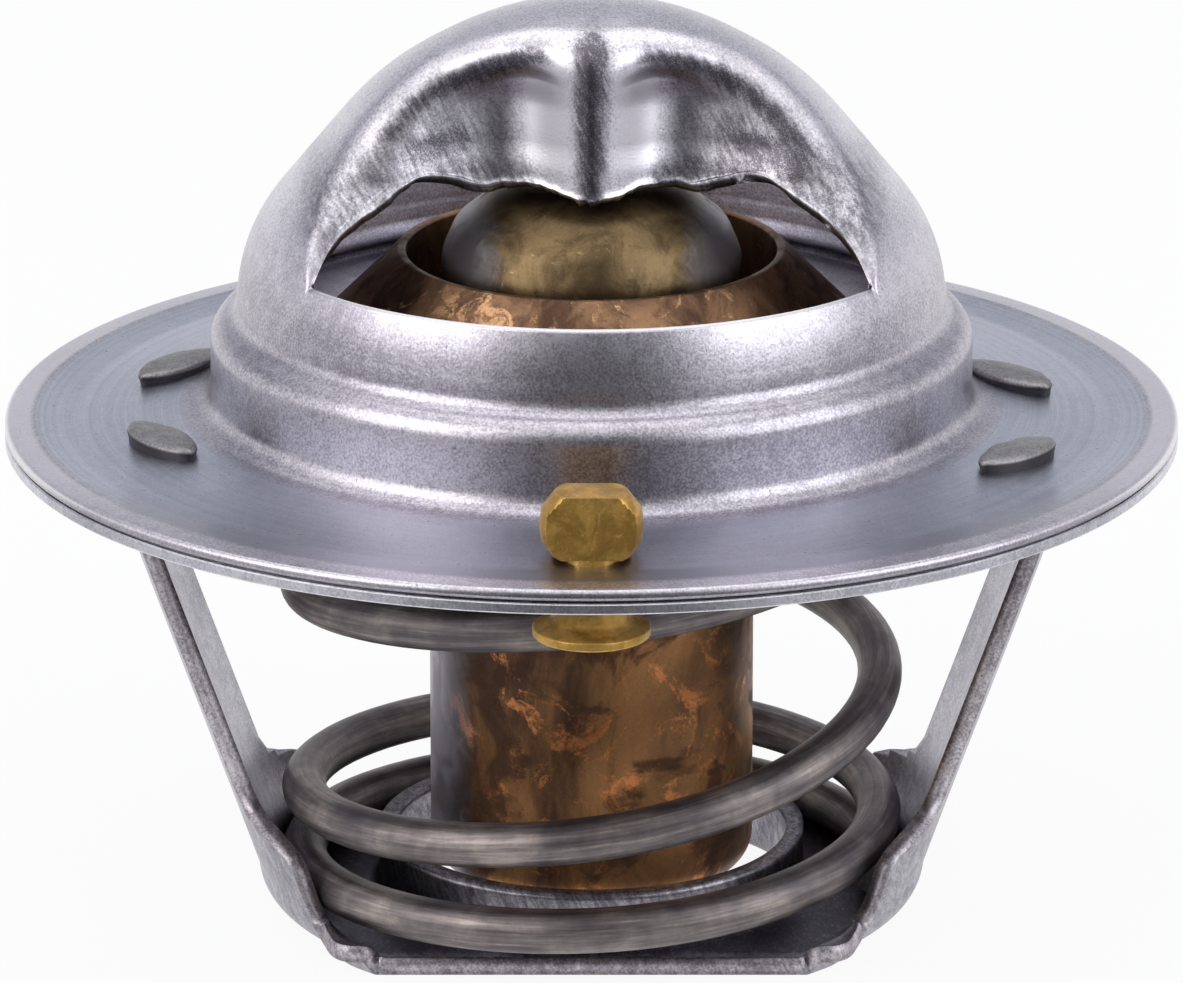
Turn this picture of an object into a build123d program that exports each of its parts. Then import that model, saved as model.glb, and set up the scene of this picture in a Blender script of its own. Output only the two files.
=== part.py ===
from build123d import *

import os
from math import acos, atan2, cos, degrees, hypot, radians, sin, sqrt

# Engine coolant thermostat: a pressed bridge with a lanced bail, a seat ring, a wax element with its
# valve cone, a coil spring and a lower frame.
#
# Millimetres, +Z up.  The origin is on the axis of the wax element, at the underside of the frame's base.

os.makedirs("parts", exist_ok=True)

# ---------------------------------------------------------------- clearances
NESTING_GAP = 0.02        # between sheets that lie on each other
RUNNING_CLEARANCE = 0.05  # radial, a piece that slides in another
SEAT_GAP = 0.04           # between the closed valve and its seat, square to the cone
SLOT_CLEARANCE = 0.12     # round a tab in its slot

# ------------------------------------------- flange and bridge, one pressing
RIM = 23.85               # height of the flange's top edge; the heights below are above it
FLANGE_RADIUS = 27.0
BRIDGE_SHEET = 0.55
CREASE_RADIUS = 24.0      # the flange is level outside this and climbs to the bead inside it
CREASE_BEND = 1.0         # bends are inside radii
WALL_RADIUS = 16.25       # upright wall above the bead
WALL_BEND = 0.6
WALL_RISE = 0.5           # from the wall's foot to where it starts to curve in
BEAD_STEP = 1.25          # the raised ring that houses the valve seat stands this far outside the wall
BEAD_FOOT = 0.45
BEAD_FOOT_BEND = 1.1
BEAD_TOP = 4.2
BEAD_CLIMB = 0.5          # from the ring's outer edge up to the wall's foot
BEAD_BEND = 0.45
DOME_HEIGHT = 19.2
SHOULDER_RADIUS = 8.0
CROWN_RADIUS = 15.0

# ---------------------------- lanced windows and the sheet pressed in above them
SILL_HEIGHT = 8.4         # lower edge of both windows
BULL_NOSE = 1.6           # outer radius along both edges of the bail
HOLLOW_X = 4.5            # where the pressed-in sheet is deepest, either side of the ridge
FLANK_X = 9.0
CORNER_INSET = 1.65       # the tool's corner is this far inside the wall's radius, seen from the front
# height above the sill, then distance from the middle plane at the ridge, hollow, flank and corner
PUNCH_LEVELS = (
    (0.0, 4.3, 4.8, 6.8, 10.4),
    (2.0, 4.25, 4.2, 6.0, 8.1),
    (3.8, 4.2, 3.6, 5.2, 5.8),
    (6.2, 4.2, 3.1, 4.9, 5.9),
)
PUNCH_TOP = (5.4, 4.4, 4.6, 5.2)  # the same four distances where the tool leaves the crown
PUNCH_OVER = 0.4          # how far the tool runs on above the crown
# half of the torn upper edge of a window: distance from the middle, height above the sill
LANCE_EDGE = ((12.8, 0.0), (11.3, 1.95), (9.3, 3.2), (7.7, 3.9), (4.5, 3.2), (0.0, 2.8))

# ------------------------------------------------------------------ seat ring
SEAT_SHEET = 0.5
SEAT_TOP = 3.65           # upper face of the inward floor
SEAT_BEND = 0.4

# ------------------------------------------------------------------ valve cone
VALVE_SHEET = 0.8
VALVE_RIM_TOP = 7.7
VALVE_RIM_BORE = 8.5
VALVE_RIM_LAND = 0.35     # width of the level land round the rim
VALVE_RIM_ROUND = 0.3
VALVE_FLANGE_RADIUS = 15.6
VALVE_FLANGE_TOP = 2.6
VALVE_WAIST = 2.3         # height where the inner wall turns in to the grip
VALVE_GRIP_FOOT = -1.6

# --------------------------------------------------------------- wax element
CUP_RADIUS = 7.5
CUP_WALL = 0.6
CUP_BOTTOM = -22.0
CUP_BOTTOM_ROUND = 1.5
CUP_LIP = 3.4             # top of the cup, rolled into the guide's groove
CRIMP_DEPTH = 0.35
CRIMP_HEIGHT = 0.9
GUIDE_TOP = 10.8
GUIDE_SHOULDER = 2.8
GUIDE_FOOT = -2.4
GUIDE_MOUTH = 0.5         # chamfer round the pin's hole
WASHER_THICKNESS = 0.8
PISTON_RADIUS = 2.0
PISTON_BOTTOM = -15.0
PISTON_POINT = 1.2
BOOT_WALL = 1.1
BOOT_FLANGE = 1.6
WAX_HEADROOM = 0.05       # thin clearance that keeps the charge off its neighbours

# -------------------------------------------------------------------- spring
WIRE_RADIUS = 1.03
COIL_RADIUS = 13.4
# how far the wire has wound down, in degrees from the right-hand side, and its centre above the rim's plane
COIL_STATIONS = (
    (-80.0, -1.6), (0.0, -3.7), (110.0, -6.6), (230.0, -9.6), (360.0, -12.6), (450.0, -16.3),
    (540.0, -18.3), (630.0, -19.0), (720.0, -19.5), (810.0, -20.7), (900.0, -21.5),
)
TOP_COIL_STARTS = -440.0  # the closed coil under the valve's flange
TOP_COIL_LEAVES = -169.0
END_COIL_STARTS = 990.0   # the closed coil on the base
END_COIL_STOPS = 1090.0
COIL_STEP = 15.0

# --------------------------------------------------------------- lower frame
FRAME_SHEET = 0.8
FRAME_HALF_WIDTH = 10.75  # the base, front to back
COLLAR_RADIUS = 9.9       # outside of the drawn collar round the cup
COLLAR_TOP = -20.3
COLLAR_BEND = 0.6
RECESS_RADIUS = 14.5      # the base's four corners step up outside this
LEDGE_RISE = 0.6
LEDGE_RUN = 0.35
LEDGE_BEND = 0.25
LEDGE_RADIUS = 15.6
LEDGE_HALF_LENGTH = 12.0
LEDGE_CORNER = 0.9
FLOOR_JOIN = 11.3         # inside this the floor belongs to the turned section
LEG_FOOT = 14.75          # outer face of a leg on the middle plane, produced down to the base
LEG_KNEE = -18.5          # the section is rounder below this height
LEG_BEND = -4.6           # height where the leg turns upright into its head
HEAD_FACE = 21.65         # outer face of the head
FOOT_ARC = 15.5           # radii of the leg's rounded section
LEG_ARC = 12.7
PAN_BEND = 1.35
BEND_STEPS = 5            # flats that stand for the rounded foot of a leg
LEG_HALF_WIDTH = 3.9
WING_SHAPE = ((7.8, -22.4), (7.5, -21.4), (7.1, -20.2), (5.3, -18.5), (3.9, -17.0))
HEAD_HALF_WIDTH = 9.0
HEAD_NECK = -5.6          # height where the leg starts to widen to the head
HEAD_UNDER = -3.6
TAB_STAND = 0.7           # how far a tab stands above the flange

# ----------------------------------------------------------------- jiggle pin
JIGGLE_INSET = 4.9        # the pin's axis is this far in from the flange's rim
JIGGLE_HOLE = 1.95
JIGGLE_STEM = 1.25
JIGGLE_HEAD = 2.25
JIGGLE_HEAD_END = 1.65
JIGGLE_HEAD_HEIGHT = 3.2
JIGGLE_HEAD_FLAT = 1.1
JIGGLE_FOOT = 2.6
JIGGLE_FOOT_EDGE = 0.35
JIGGLE_BOTTOM = -3.85
JIGGLE_FLARE = -2.3       # where the stem starts to open into the foot


def turned(region):
    """Revolve a flat region, drawn as radius and height above the rim, round the element's axis."""
    return Pos(0, 0, RIM) * revolve(Plane.XZ * region, Axis.Z)


def mitred(points, distance):
    """The same corners on a line that runs distance to the left of the one through points."""
    headings = [atan2(b[1] - a[1], b[0] - a[0]) for a, b in zip(points, points[1:])]
    moved = []
    for corner, before, after in zip(points, headings[:1] + headings, headings + headings[-1:]):
        middle = (before + after) / 2
        reach = distance / cos((after - before) / 2)
        moved.append((corner[0] - reach * sin(middle), corner[1] + reach * cos(middle)))
    return moved


def turned_sheet(points, bends, sheet):
    """Revolve a sheet-metal section.

    The points run along one face, with the metal on the left of travel.  Each bend is the radius
    on its inner side, so the face outside the bend gets that radius plus the sheet.
    """
    face_radii, back_radii = [], []
    for before, corner, after, bend in zip(points, points[1:], points[2:], bends):
        run, rise = corner[0] - before[0], corner[1] - before[1]
        turns_left = run * (after[1] - corner[1]) > rise * (after[0] - corner[0])
        face_radii.append(bend + sheet if turns_left else bend)
        back_radii.append(bend if turns_left else bend + sheet)
    face = FilletPolyline(*points, radius=face_radii)
    back = FilletPolyline(*mitred(points, sheet), radius=back_radii)
    ends = [Line(face @ 0, back @ 0), Line(face @ 1, back @ 1)]
    return turned(make_face([face, back, *ends]))


def blank(radius, low, high):
    """A plain disc between two heights above the rim."""
    return Pos(0, 0, RIM + low) * Cylinder(radius, high - low, align=(Align.CENTER, Align.CENTER, Align.MIN))


# ==================================================================== bridge
bead_radius = WALL_RADIUS + BEAD_STEP
wall_foot = BEAD_TOP + BEAD_CLIMB
dome_foot = wall_foot + WALL_RISE

# The dome's outline is a wall, a shoulder arc, a straight flank and a crown arc, all tangent.
# The flank is the line that touches both arcs' circles, so its slope follows from their centres.
centres_run = WALL_RADIUS - SHOULDER_RADIUS
centres_rise = DOME_HEIGHT - CROWN_RADIUS - dome_foot
centres_apart = hypot(centres_run, centres_rise)
shoulder_turn = acos((CROWN_RADIUS - SHOULDER_RADIUS) / centres_apart) - atan2(centres_rise, centres_run)


def dome(inset):
    """The solid under the dome's outline, from the shoulder's foot up, its skin moved in by inset."""
    foot = (WALL_RADIUS - inset, dome_foot)
    shoulder = JernArc(foot, (0, 1), SHOULDER_RADIUS - inset, degrees(shoulder_turn))
    crown_reach = CROWN_RADIUS - inset
    crown_middle = DOME_HEIGHT - CROWN_RADIUS
    flank_end = (crown_reach * cos(shoulder_turn), crown_middle + crown_reach * sin(shoulder_turn))
    flank = Line(shoulder @ 1, flank_end)
    flank_heading = (-sin(shoulder_turn), cos(shoulder_turn))
    crown = JernArc(flank_end, flank_heading, crown_reach, 90 - degrees(shoulder_turn))
    closing = Polyline(crown @ 1, (0, dome_foot), foot)
    return turned(make_face([shoulder, flank, crown, closing]))


def punch(inset):
    """The tool that presses the front of the dome in: plan curves at rising heights, lofted.

    It starts under the dome's foot, so that the edges it makes run right down through the sill.
    """
    foot = (dome_foot - SILL_HEIGHT - BRIDGE_SHEET, *PUNCH_LEVELS[0][1:])
    top = (DOME_HEIGHT - SILL_HEIGHT + PUNCH_OVER, *PUNCH_TOP)
    corner_x = WALL_RADIUS - CORNER_INSET
    sections = []
    for height, ridge, hollow, flank, corner in (foot, *PUNCH_LEVELS, top):
        half = ((corner_x, corner), (FLANK_X, flank), (HOLLOW_X, hollow))
        left = [(-x, inset - y) for x, y in half]
        right = [(x, inset - y) for x, y in reversed(half)]
        face_curve = Spline(*left, (0, inset - ridge), *right)
        front = [(corner_x, -FLANGE_RADIUS), (-corner_x, -FLANGE_RADIUS)]
        around = Polyline(face_curve @ 1, *front, face_curve @ 0)
        sections.append(Pos(0, 0, RIM + SILL_HEIGHT + height) * make_face([face_curve, around]))
    return loft(sections)


def pressed_dome(inset):
    """The dome after both sides are pressed in above the sill, with the bail's edges rounded."""
    whole = dome(inset)
    tool = punch(inset)
    pressed = whole - tool - tool.rotate(Axis.Z, 180)
    foot_level = RIM + dome_foot + NESTING_GAP
    cut_edges = pressed.edges().filter_by(GeomType.BSPLINE)
    nose_edges = cut_edges.filter_by(lambda edge: edge.bounding_box().max.Z > foot_level)
    pressed = fillet(nose_edges, BULL_NOSE - inset)
    above_sill = blank(WALL_RADIUS, SILL_HEIGHT, DOME_HEIGHT)
    return (pressed & above_sill) + (whole - above_sill)


def window_cutter():
    """What the lance leaves open, front and back: from the sill to the torn edge of the pressed-in sheet."""
    right = [(x, RIM + SILL_HEIGHT + height) for x, height in LANCE_EDGE]
    left = [(-x, z) for x, z in reversed(right[:-1])]
    torn_edge = Spline(*right, *left)
    opening = make_face([torn_edge, Line(torn_edge @ 1, torn_edge @ 0)])
    return extrude(Plane.XZ * opening, WALL_RADIUS, both=True)


flange_points = (
    (FLANGE_RADIUS + 1, 0.0),
    (CREASE_RADIUS, 0.0),
    (bead_radius, BEAD_FOOT),
    (bead_radius, BEAD_TOP),
    (WALL_RADIUS, wall_foot),
    (WALL_RADIUS, dome_foot),
)
skirt = turned_sheet(flange_points, [CREASE_BEND, BEAD_FOOT_BEND, BEAD_BEND, WALL_BEND], BRIDGE_SHEET)
skirt &= blank(FLANGE_RADIUS, -RIM, DOME_HEIGHT)
bail = pressed_dome(0) - pressed_dome(BRIDGE_SHEET) - window_cutter()
bridge = skirt + bail

# ================================================================= seat ring
# It nests under the flange and inside the bead, one sheet and a small gap further in.
nest = BRIDGE_SHEET + NESTING_GAP
seat_points = (
    (FLANGE_RADIUS + 1, -nest),
    (CREASE_RADIUS, -nest),
    (bead_radius - nest, BEAD_FOOT - nest),
    (bead_radius - nest, SEAT_TOP),
    (VALVE_RIM_BORE, SEAT_TOP),
)
seat_ring = turned_sheet(seat_points, [CREASE_BEND, BEAD_FOOT_BEND + nest, SEAT_BEND], SEAT_SHEET)
seat_ring &= blank(FLANGE_RADIUS, -RIM, DOME_HEIGHT)

# ================================================================ valve cone
# One pressing: a grip on the cup, an inner wall, a rim, a 45 degree cone and a flange for the spring.
rim_outer = VALVE_RIM_BORE + VALVE_RIM_LAND
cone_foot = rim_outer + VALVE_RIM_TOP - VALVE_FLANGE_TOP
under_cone = VALVE_SHEET * sqrt(2)
flange_under = VALVE_FLANGE_TOP - VALVE_SHEET
inner_wall = VALVE_RIM_BORE + VALVE_SHEET
fold_top = rim_outer + VALVE_RIM_TOP - under_cone - inner_wall
valve_outline = Polyline(
    (VALVE_FLANGE_RADIUS, flange_under),
    (VALVE_FLANGE_RADIUS, VALVE_FLANGE_TOP),
    (cone_foot, VALVE_FLANGE_TOP),
    (rim_outer, VALVE_RIM_TOP),
    (VALVE_RIM_BORE, VALVE_RIM_TOP),
    (VALVE_RIM_BORE, VALVE_WAIST),
    (CUP_RADIUS, VALVE_WAIST - VALVE_SHEET),
    (CUP_RADIUS, VALVE_GRIP_FOOT),
    (CUP_RADIUS + VALVE_SHEET, VALVE_GRIP_FOOT),
    (CUP_RADIUS + VALVE_SHEET, VALVE_WAIST - VALVE_SHEET),
    (inner_wall, VALVE_WAIST),
    (inner_wall, fold_top),
    (cone_foot + VALVE_SHEET - under_cone, flange_under),
    (VALVE_FLANGE_RADIUS, flange_under),
)
valve_region = make_face(valve_outline)
rim_corners = valve_region.vertices().filter_by(lambda v: v.Y > VALVE_RIM_TOP - NESTING_GAP)
valve_region = fillet(rim_corners, VALVE_RIM_LAND / 2 - NESTING_GAP)
valve_cone = turned(valve_region)

# The seat's edge is coined to the cone's angle, a hair clear of the closed valve.
seat_reach = SEAT_GAP * sqrt(2)
seat_cone_top = VALVE_RIM_TOP
coining = make_face(
    Polyline(
        (0, seat_cone_top),
        (rim_outer + seat_reach, seat_cone_top),
        (cone_foot + seat_reach, VALVE_FLANGE_TOP),
        (0, VALVE_FLANGE_TOP),
        (0, seat_cone_top),
    )
)
seat_ring -= turned(coining)

# =============================================================== wax element
cup_bore = CUP_RADIUS - CUP_WALL
groove_radius = cup_bore - CRIMP_DEPTH
crimp_foot = CUP_LIP - CRIMP_HEIGHT


def cup_section(bore, floor):
    """Section of the cup's wall and floor as far as the crimp, for a given bore and floor thickness."""
    return make_face(
        FilletPolyline(
            (0, CUP_BOTTOM),
            (CUP_RADIUS, CUP_BOTTOM),
            (CUP_RADIUS, crimp_foot),
            (bore, crimp_foot),
            (bore, CUP_BOTTOM + floor),
            (0, CUP_BOTTOM + floor),
            radius=[CUP_BOTTOM_ROUND, NESTING_GAP, NESTING_GAP, CUP_BOTTOM_ROUND - CUP_WALL],
        ).wire()
        + Line((0, CUP_BOTTOM + floor), (0, CUP_BOTTOM))
    )


crimp_section = make_face(
    Polyline(
        (CUP_RADIUS, crimp_foot),
        (groove_radius + CUP_WALL, CUP_LIP),
        (groove_radius, CUP_LIP),
        (cup_bore, crimp_foot),
        (CUP_RADIUS, crimp_foot),
    )
)
wax_cup = turned(cup_section(cup_bore, CUP_WALL)) + turned(crimp_section)

# The guide fills the cup's mouth, is held by the crimp, and carries the pin in its bore.
guide_radius = cup_bore - NESTING_GAP
groove_bottom = groove_radius - NESTING_GAP
guide_bore = PISTON_RADIUS + RUNNING_CLEARANCE
guide_body = make_face(
    Polyline(
        (guide_bore, GUIDE_FOOT),
        (guide_radius, GUIDE_FOOT),
        (guide_radius, crimp_foot),
        (groove_bottom, CUP_LIP),
        (guide_radius, CUP_LIP + CRIMP_DEPTH),
        (guide_radius, GUIDE_TOP),
        (guide_bore, GUIDE_TOP),
        (guide_bore, GUIDE_FOOT),
    )
)
dome_corner = guide_body.vertices().sort_by_distance((guide_radius, GUIDE_TOP))[0]
guide_body = fillet(dome_corner, GUIDE_SHOULDER)
mouth_corner = guide_body.vertices().sort_by_distance((guide_bore, GUIDE_TOP))[0]
guide_body = chamfer(mouth_corner, GUIDE_MOUTH)
element_guide = turned(guide_body)

washer_foot = GUIDE_FOOT - NESTING_GAP - WASHER_THICKNESS
chafing_washer = blank(guide_radius, washer_foot, GUIDE_FOOT - NESTING_GAP) - blank(
    guide_bore, washer_foot - 1, GUIDE_FOOT
)

# The boot is a closed sleeve round the pin, with a flange held under the washer.
boot_top = washer_foot - NESTING_GAP
boot_bore = PISTON_RADIUS + RUNNING_CLEARANCE
boot_radius = boot_bore + BOOT_WALL
boot_end = PISTON_BOTTOM - RUNNING_CLEARANCE
boot_section = make_face(
    Polyline(
        (0, boot_end - BOOT_WALL),
        (boot_radius - PISTON_POINT, boot_end - BOOT_WALL),
        (boot_radius, boot_end + PISTON_POINT),
        (boot_radius, boot_top - BOOT_FLANGE),
        (guide_radius, boot_top - BOOT_FLANGE),
        (guide_radius, boot_top),
        (boot_bore, boot_top),
        (boot_bore, boot_end + PISTON_POINT),
        (boot_bore - PISTON_POINT, boot_end),
        (0, boot_end),
        (0, boot_end - BOOT_WALL),
    )
)
rubber_boot = turned(boot_section)

# The wax fills what is left of the cup, round and under the boot.
wax_top = boot_top - BOOT_FLANGE - WAX_HEADROOM
wax_bottom = CUP_BOTTOM + CUP_WALL + WAX_HEADROOM
wax_radius = cup_bore - WAX_HEADROOM
wax_core = boot_radius + WAX_HEADROOM
wax_section = make_face(
    Polyline(
        (0, wax_bottom),
        (wax_radius, wax_bottom),
        (wax_radius, wax_top),
        (wax_core, wax_top),
        (wax_core, boot_end + PISTON_POINT),
        (wax_core - PISTON_POINT, boot_end - BOOT_WALL - WAX_HEADROOM),
        (0, boot_end - BOOT_WALL - WAX_HEADROOM),
        (0, wax_bottom),
    )
)
wax_corner = wax_section.vertices().sort_by_distance((wax_radius, wax_bottom))[0]
wax_section = fillet(wax_corner, CUP_BOTTOM_ROUND - CUP_WALL)
wax_charge = turned(wax_section)

# The pin stands in the element and bears against the inside of the crown.
pin_section = make_face(
    Polyline(
        (0, PISTON_BOTTOM),
        (PISTON_RADIUS - PISTON_POINT, PISTON_BOTTOM),
        (PISTON_RADIUS, PISTON_BOTTOM + PISTON_POINT),
        (PISTON_RADIUS, DOME_HEIGHT),
        (0, DOME_HEIGHT),
        (0, PISTON_BOTTOM),
    )
)
tip_space = dome(BRIDGE_SHEET + NESTING_GAP) + blank(PISTON_RADIUS, PISTON_BOTTOM, dome_foot)
piston_pin = turned(pin_section) & tip_space

# =============================================================== lower frame
# Floor, corner ledges and collar are one turned section; walls, legs and heads are a shell between
# two lofted blocks, one sheet apart.
base_upper = FRAME_SHEET - RIM
leg_slant = (HEAD_FACE - LEG_FOOT) / (LEG_BEND + RIM)
slant_sheet = FRAME_SHEET * sqrt(1 + leg_slant**2)
nest_under = -nest - SEAT_SHEET - NESTING_GAP
head_top = BEAD_FOOT + TAB_STAND


def leg_face(height):
    """Distance of a leg's outer face from the axis, on the middle plane."""
    return min(LEG_FOOT + leg_slant * (height + RIM), HEAD_FACE)


def leg_section(height, front, radius):
    """A level slice between both legs' faces, whose ends are arcs that reach front on the middle plane."""
    half = HEAD_HALF_WIDTH + 1
    side = front - radius + sqrt(radius**2 - half**2)
    outline = [
        ThreePointArc((side, -half), (front, 0), (side, half)),
        Line((side, half), (-side, half)),
        ThreePointArc((-side, half), (-front, 0), (-side, -half)),
        Line((-side, -half), (side, -half)),
    ]
    return Pos(0, 0, RIM + height) * make_face(outline)


def leg_block(inset, floor, bend):
    """The solid between the outer faces of both legs, moved in by inset, with its foot rounded."""
    sections = []
    for step in range(BEND_STEPS + 1):
        turn = radians(90.0 * step / BEND_STEPS)
        height = floor + bend * (1 - cos(turn))
        drawn_in = inset + bend * (1 - sin(turn))
        sections.append(leg_section(height, leg_face(floor + bend) - drawn_in, FOOT_ARC - drawn_in))
    for height in (LEG_KNEE, LEG_BEND, head_top + 1):
        sections.append(leg_section(height, leg_face(height) - inset, LEG_ARC - inset))
    return loft(sections, ruled=True)


half_outline = [
    (0, -RIM),
    (WING_SHAPE[0][0], -RIM),
    *WING_SHAPE,
    (LEG_HALF_WIDTH, HEAD_NECK),
    (HEAD_HALF_WIDTH, HEAD_UNDER),
    (HEAD_HALF_WIDTH, head_top),
    (LEG_HALF_WIDTH, head_top),
    (LEG_HALF_WIDTH, nest_under),
    (0, nest_under),
]


def side_cutter(points):
    """A full-length bar whose section is the outline, mirrored about the middle plane."""
    mirrored = [(-y, z) for y, z in reversed(points[1:-1])]
    region = make_face(Polyline(*[(y, z + RIM) for y, z in points + mirrored], close=True))
    return extrude(Plane.YZ * region, FLANGE_RADIUS, both=True)


outer_block = leg_block(0, -RIM, PAN_BEND + FRAME_SHEET)
inner_block = leg_block(slant_sheet, base_upper, PAN_BEND)
legs = (outer_block - inner_block) & side_cutter(half_outline)
legs -= blank(FLOOR_JOIN, -RIM, HEAD_UNDER)

floor_points = (
    (LEDGE_RADIUS, base_upper + LEDGE_RISE),
    (RECESS_RADIUS + LEDGE_RUN, base_upper + LEDGE_RISE),
    (RECESS_RADIUS, base_upper),
    (COLLAR_RADIUS, base_upper),
    (COLLAR_RADIUS, COLLAR_TOP),
)
floor_disc = turned_sheet(floor_points, [LEDGE_BEND, LEDGE_BEND, COLLAR_BEND], FRAME_SHEET)
floor_plan = Rectangle(2 * LEDGE_HALF_LENGTH, 2 * FRAME_HALF_WIDTH)
floor_plan = fillet(floor_plan.vertices(), LEDGE_CORNER)
floor_plan -= Rectangle(2 * FLANGE_RADIUS, 2 * WING_SHAPE[0][0])
floor_plan += Circle(FLOOR_JOIN) & Rectangle(2 * FLANGE_RADIUS, 2 * FRAME_HALF_WIDTH)
lower_frame = legs + (floor_disc & extrude(floor_plan, RIM))

# The tabs stand in slots through both flanges.
slot_width = HEAD_HALF_WIDTH - LEG_HALF_WIDTH + 2 * SLOT_CLEARANCE
slot_outer = leg_block(-SLOT_CLEARANCE, -RIM, PAN_BEND)
slot_inner = leg_block(slant_sheet + SLOT_CLEARANCE, base_upper, PAN_BEND)
slot_shell = slot_outer - slot_inner
for side in (1, -1):
    slot_middle = side * (HEAD_HALF_WIDTH + LEG_HALF_WIDTH) / 2
    slot_bar = Pos(0, slot_middle, RIM) * Box(2 * FLANGE_RADIUS, slot_width, 2 * abs(nest_under))
    slots = slot_shell & slot_bar
    bridge -= slots
    seat_ring -= slots

# ==================================================================== spring
spring_seat = base_upper + WIRE_RADIUS + NESTING_GAP
spring_top = flange_under - WIRE_RADIUS - NESTING_GAP
stations = [
    (TOP_COIL_STARTS, spring_top),
    (TOP_COIL_LEAVES, spring_top),
    *COIL_STATIONS,
    (END_COIL_STARTS, spring_seat),
    (END_COIL_STOPS, spring_seat),
]


def coil_height(angle):
    """Height of the wire's centre, eased through the stations so that the coil has no kinks."""
    slopes = [0.0]
    for before, after in zip(stations, stations[2:]):
        slopes.append((after[1] - before[1]) / (after[0] - before[0]))
    slopes[1] = slopes[-1] = 0.0
    slopes.append(0.0)
    for start, end, slope_in, slope_out in zip(stations, stations[1:], slopes, slopes[1:]):
        if angle <= end[0]:
            break
    span = end[0] - start[0]
    t = (angle - start[0]) / span
    rise = start[1] * (2 * t**3 - 3 * t**2 + 1) + end[1] * (3 * t**2 - 2 * t**3)
    return rise + span * (slope_in * (t**3 - 2 * t**2 + t) + slope_out * (t**3 - t**2))


coil_points = []
coil_turns = round((END_COIL_STOPS - TOP_COIL_STARTS) / COIL_STEP)
for step in range(coil_turns + 1):
    angle = TOP_COIL_STARTS + (END_COIL_STOPS - TOP_COIL_STARTS) * step / coil_turns
    across = COIL_RADIUS * cos(radians(angle))
    along = -COIL_RADIUS * sin(radians(angle))
    coil_points.append((across, along, RIM + coil_height(angle)))
coil_line = Spline(*coil_points)
wire_section = Plane(origin=coil_line @ 0, z_dir=coil_line % 0) * Circle(WIRE_RADIUS)
main_spring = sweep(wire_section, path=coil_line)

# ================================================================ jiggle pin
jiggle_y = JIGGLE_INSET - FLANGE_RADIUS
flange_slope = BEAD_FOOT / (CREASE_RADIUS - bead_radius)
head_seat = flange_slope * (CREASE_RADIUS + jiggle_y + JIGGLE_HEAD) + NESTING_GAP
head_top_level = head_seat + JIGGLE_HEAD_HEIGHT
pin_outline = [
    Polyline(
        (JIGGLE_STEM, head_seat),
        (JIGGLE_HEAD_END, head_seat),
        (JIGGLE_HEAD, head_seat + JIGGLE_HEAD_HEIGHT / 3),
        (JIGGLE_HEAD, head_seat + JIGGLE_HEAD_HEIGHT * 2 / 3),
        (JIGGLE_HEAD_END, head_top_level),
        (0, head_top_level),
        (0, JIGGLE_BOTTOM),
        (JIGGLE_FOOT, JIGGLE_BOTTOM),
        (JIGGLE_FOOT, JIGGLE_BOTTOM + JIGGLE_FOOT_EDGE),
    ),
    Line((JIGGLE_STEM, JIGGLE_FLARE), (JIGGLE_STEM, head_seat)),
    TangentArc((JIGGLE_STEM, JIGGLE_FLARE), (JIGGLE_FOOT, JIGGLE_BOTTOM + JIGGLE_FOOT_EDGE), tangent=(0, -1)),
]
jiggle_pin = Pos(0, jiggle_y) * turned(make_face(pin_outline))
head_middle = RIM + head_seat + JIGGLE_HEAD_HEIGHT / 2
pin_room = Pos(0, jiggle_y, head_middle) * Box(2 * JIGGLE_FOOT, 2 * JIGGLE_HEAD_FLAT, JIGGLE_HEAD_HEIGHT)
pin_room += Pos(0, jiggle_y) * blank(JIGGLE_FOOT, JIGGLE_BOTTOM, head_seat)
jiggle_pin &= pin_room

pin_hole = Pos(0, jiggle_y) * blank(JIGGLE_HOLE, JIGGLE_BOTTOM, head_top_level)
bridge -= pin_hole
seat_ring -= pin_hole

# =================================================================== export
nodes = {
    "bridge": bridge,
    "seat_ring": seat_ring,
    "lower_frame": lower_frame,
    "main_spring": main_spring,
    "valve_cone": valve_cone,
    "element_guide": element_guide,
    "wax_cup": wax_cup,
    "jiggle_pin": jiggle_pin,
    "piston_pin": piston_pin,
    "rubber_boot": rubber_boot,
    "chafing_washer": chafing_washer,
    "wax_charge": wax_charge,
}
for name, body in nodes.items():
    export_step(body, f"parts/{name}.step")
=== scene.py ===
"""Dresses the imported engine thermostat: smooth meshes and procedural metals on the fixed CAD frame."""

import logging
import math
from collections.abc import Sequence
from dataclasses import dataclass
from enum import Enum

import bmesh
import bpy
import numpy as np
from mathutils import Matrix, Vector


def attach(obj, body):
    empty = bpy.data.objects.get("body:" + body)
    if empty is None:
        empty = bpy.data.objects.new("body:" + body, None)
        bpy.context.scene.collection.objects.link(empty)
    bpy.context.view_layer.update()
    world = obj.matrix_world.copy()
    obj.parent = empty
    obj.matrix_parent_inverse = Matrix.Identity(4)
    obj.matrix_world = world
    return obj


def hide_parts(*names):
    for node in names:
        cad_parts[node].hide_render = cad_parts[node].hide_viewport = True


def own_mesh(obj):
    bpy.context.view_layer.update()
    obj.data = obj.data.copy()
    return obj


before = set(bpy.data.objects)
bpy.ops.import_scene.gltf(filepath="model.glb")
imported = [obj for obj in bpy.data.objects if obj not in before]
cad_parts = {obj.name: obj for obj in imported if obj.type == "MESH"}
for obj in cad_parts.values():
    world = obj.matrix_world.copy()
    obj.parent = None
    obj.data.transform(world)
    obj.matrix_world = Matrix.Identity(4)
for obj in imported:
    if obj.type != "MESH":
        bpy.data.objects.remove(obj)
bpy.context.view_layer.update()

MM = 0.001
RIM = 23.85  # height of the flange's top edge above the base; profile heights count from it
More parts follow.
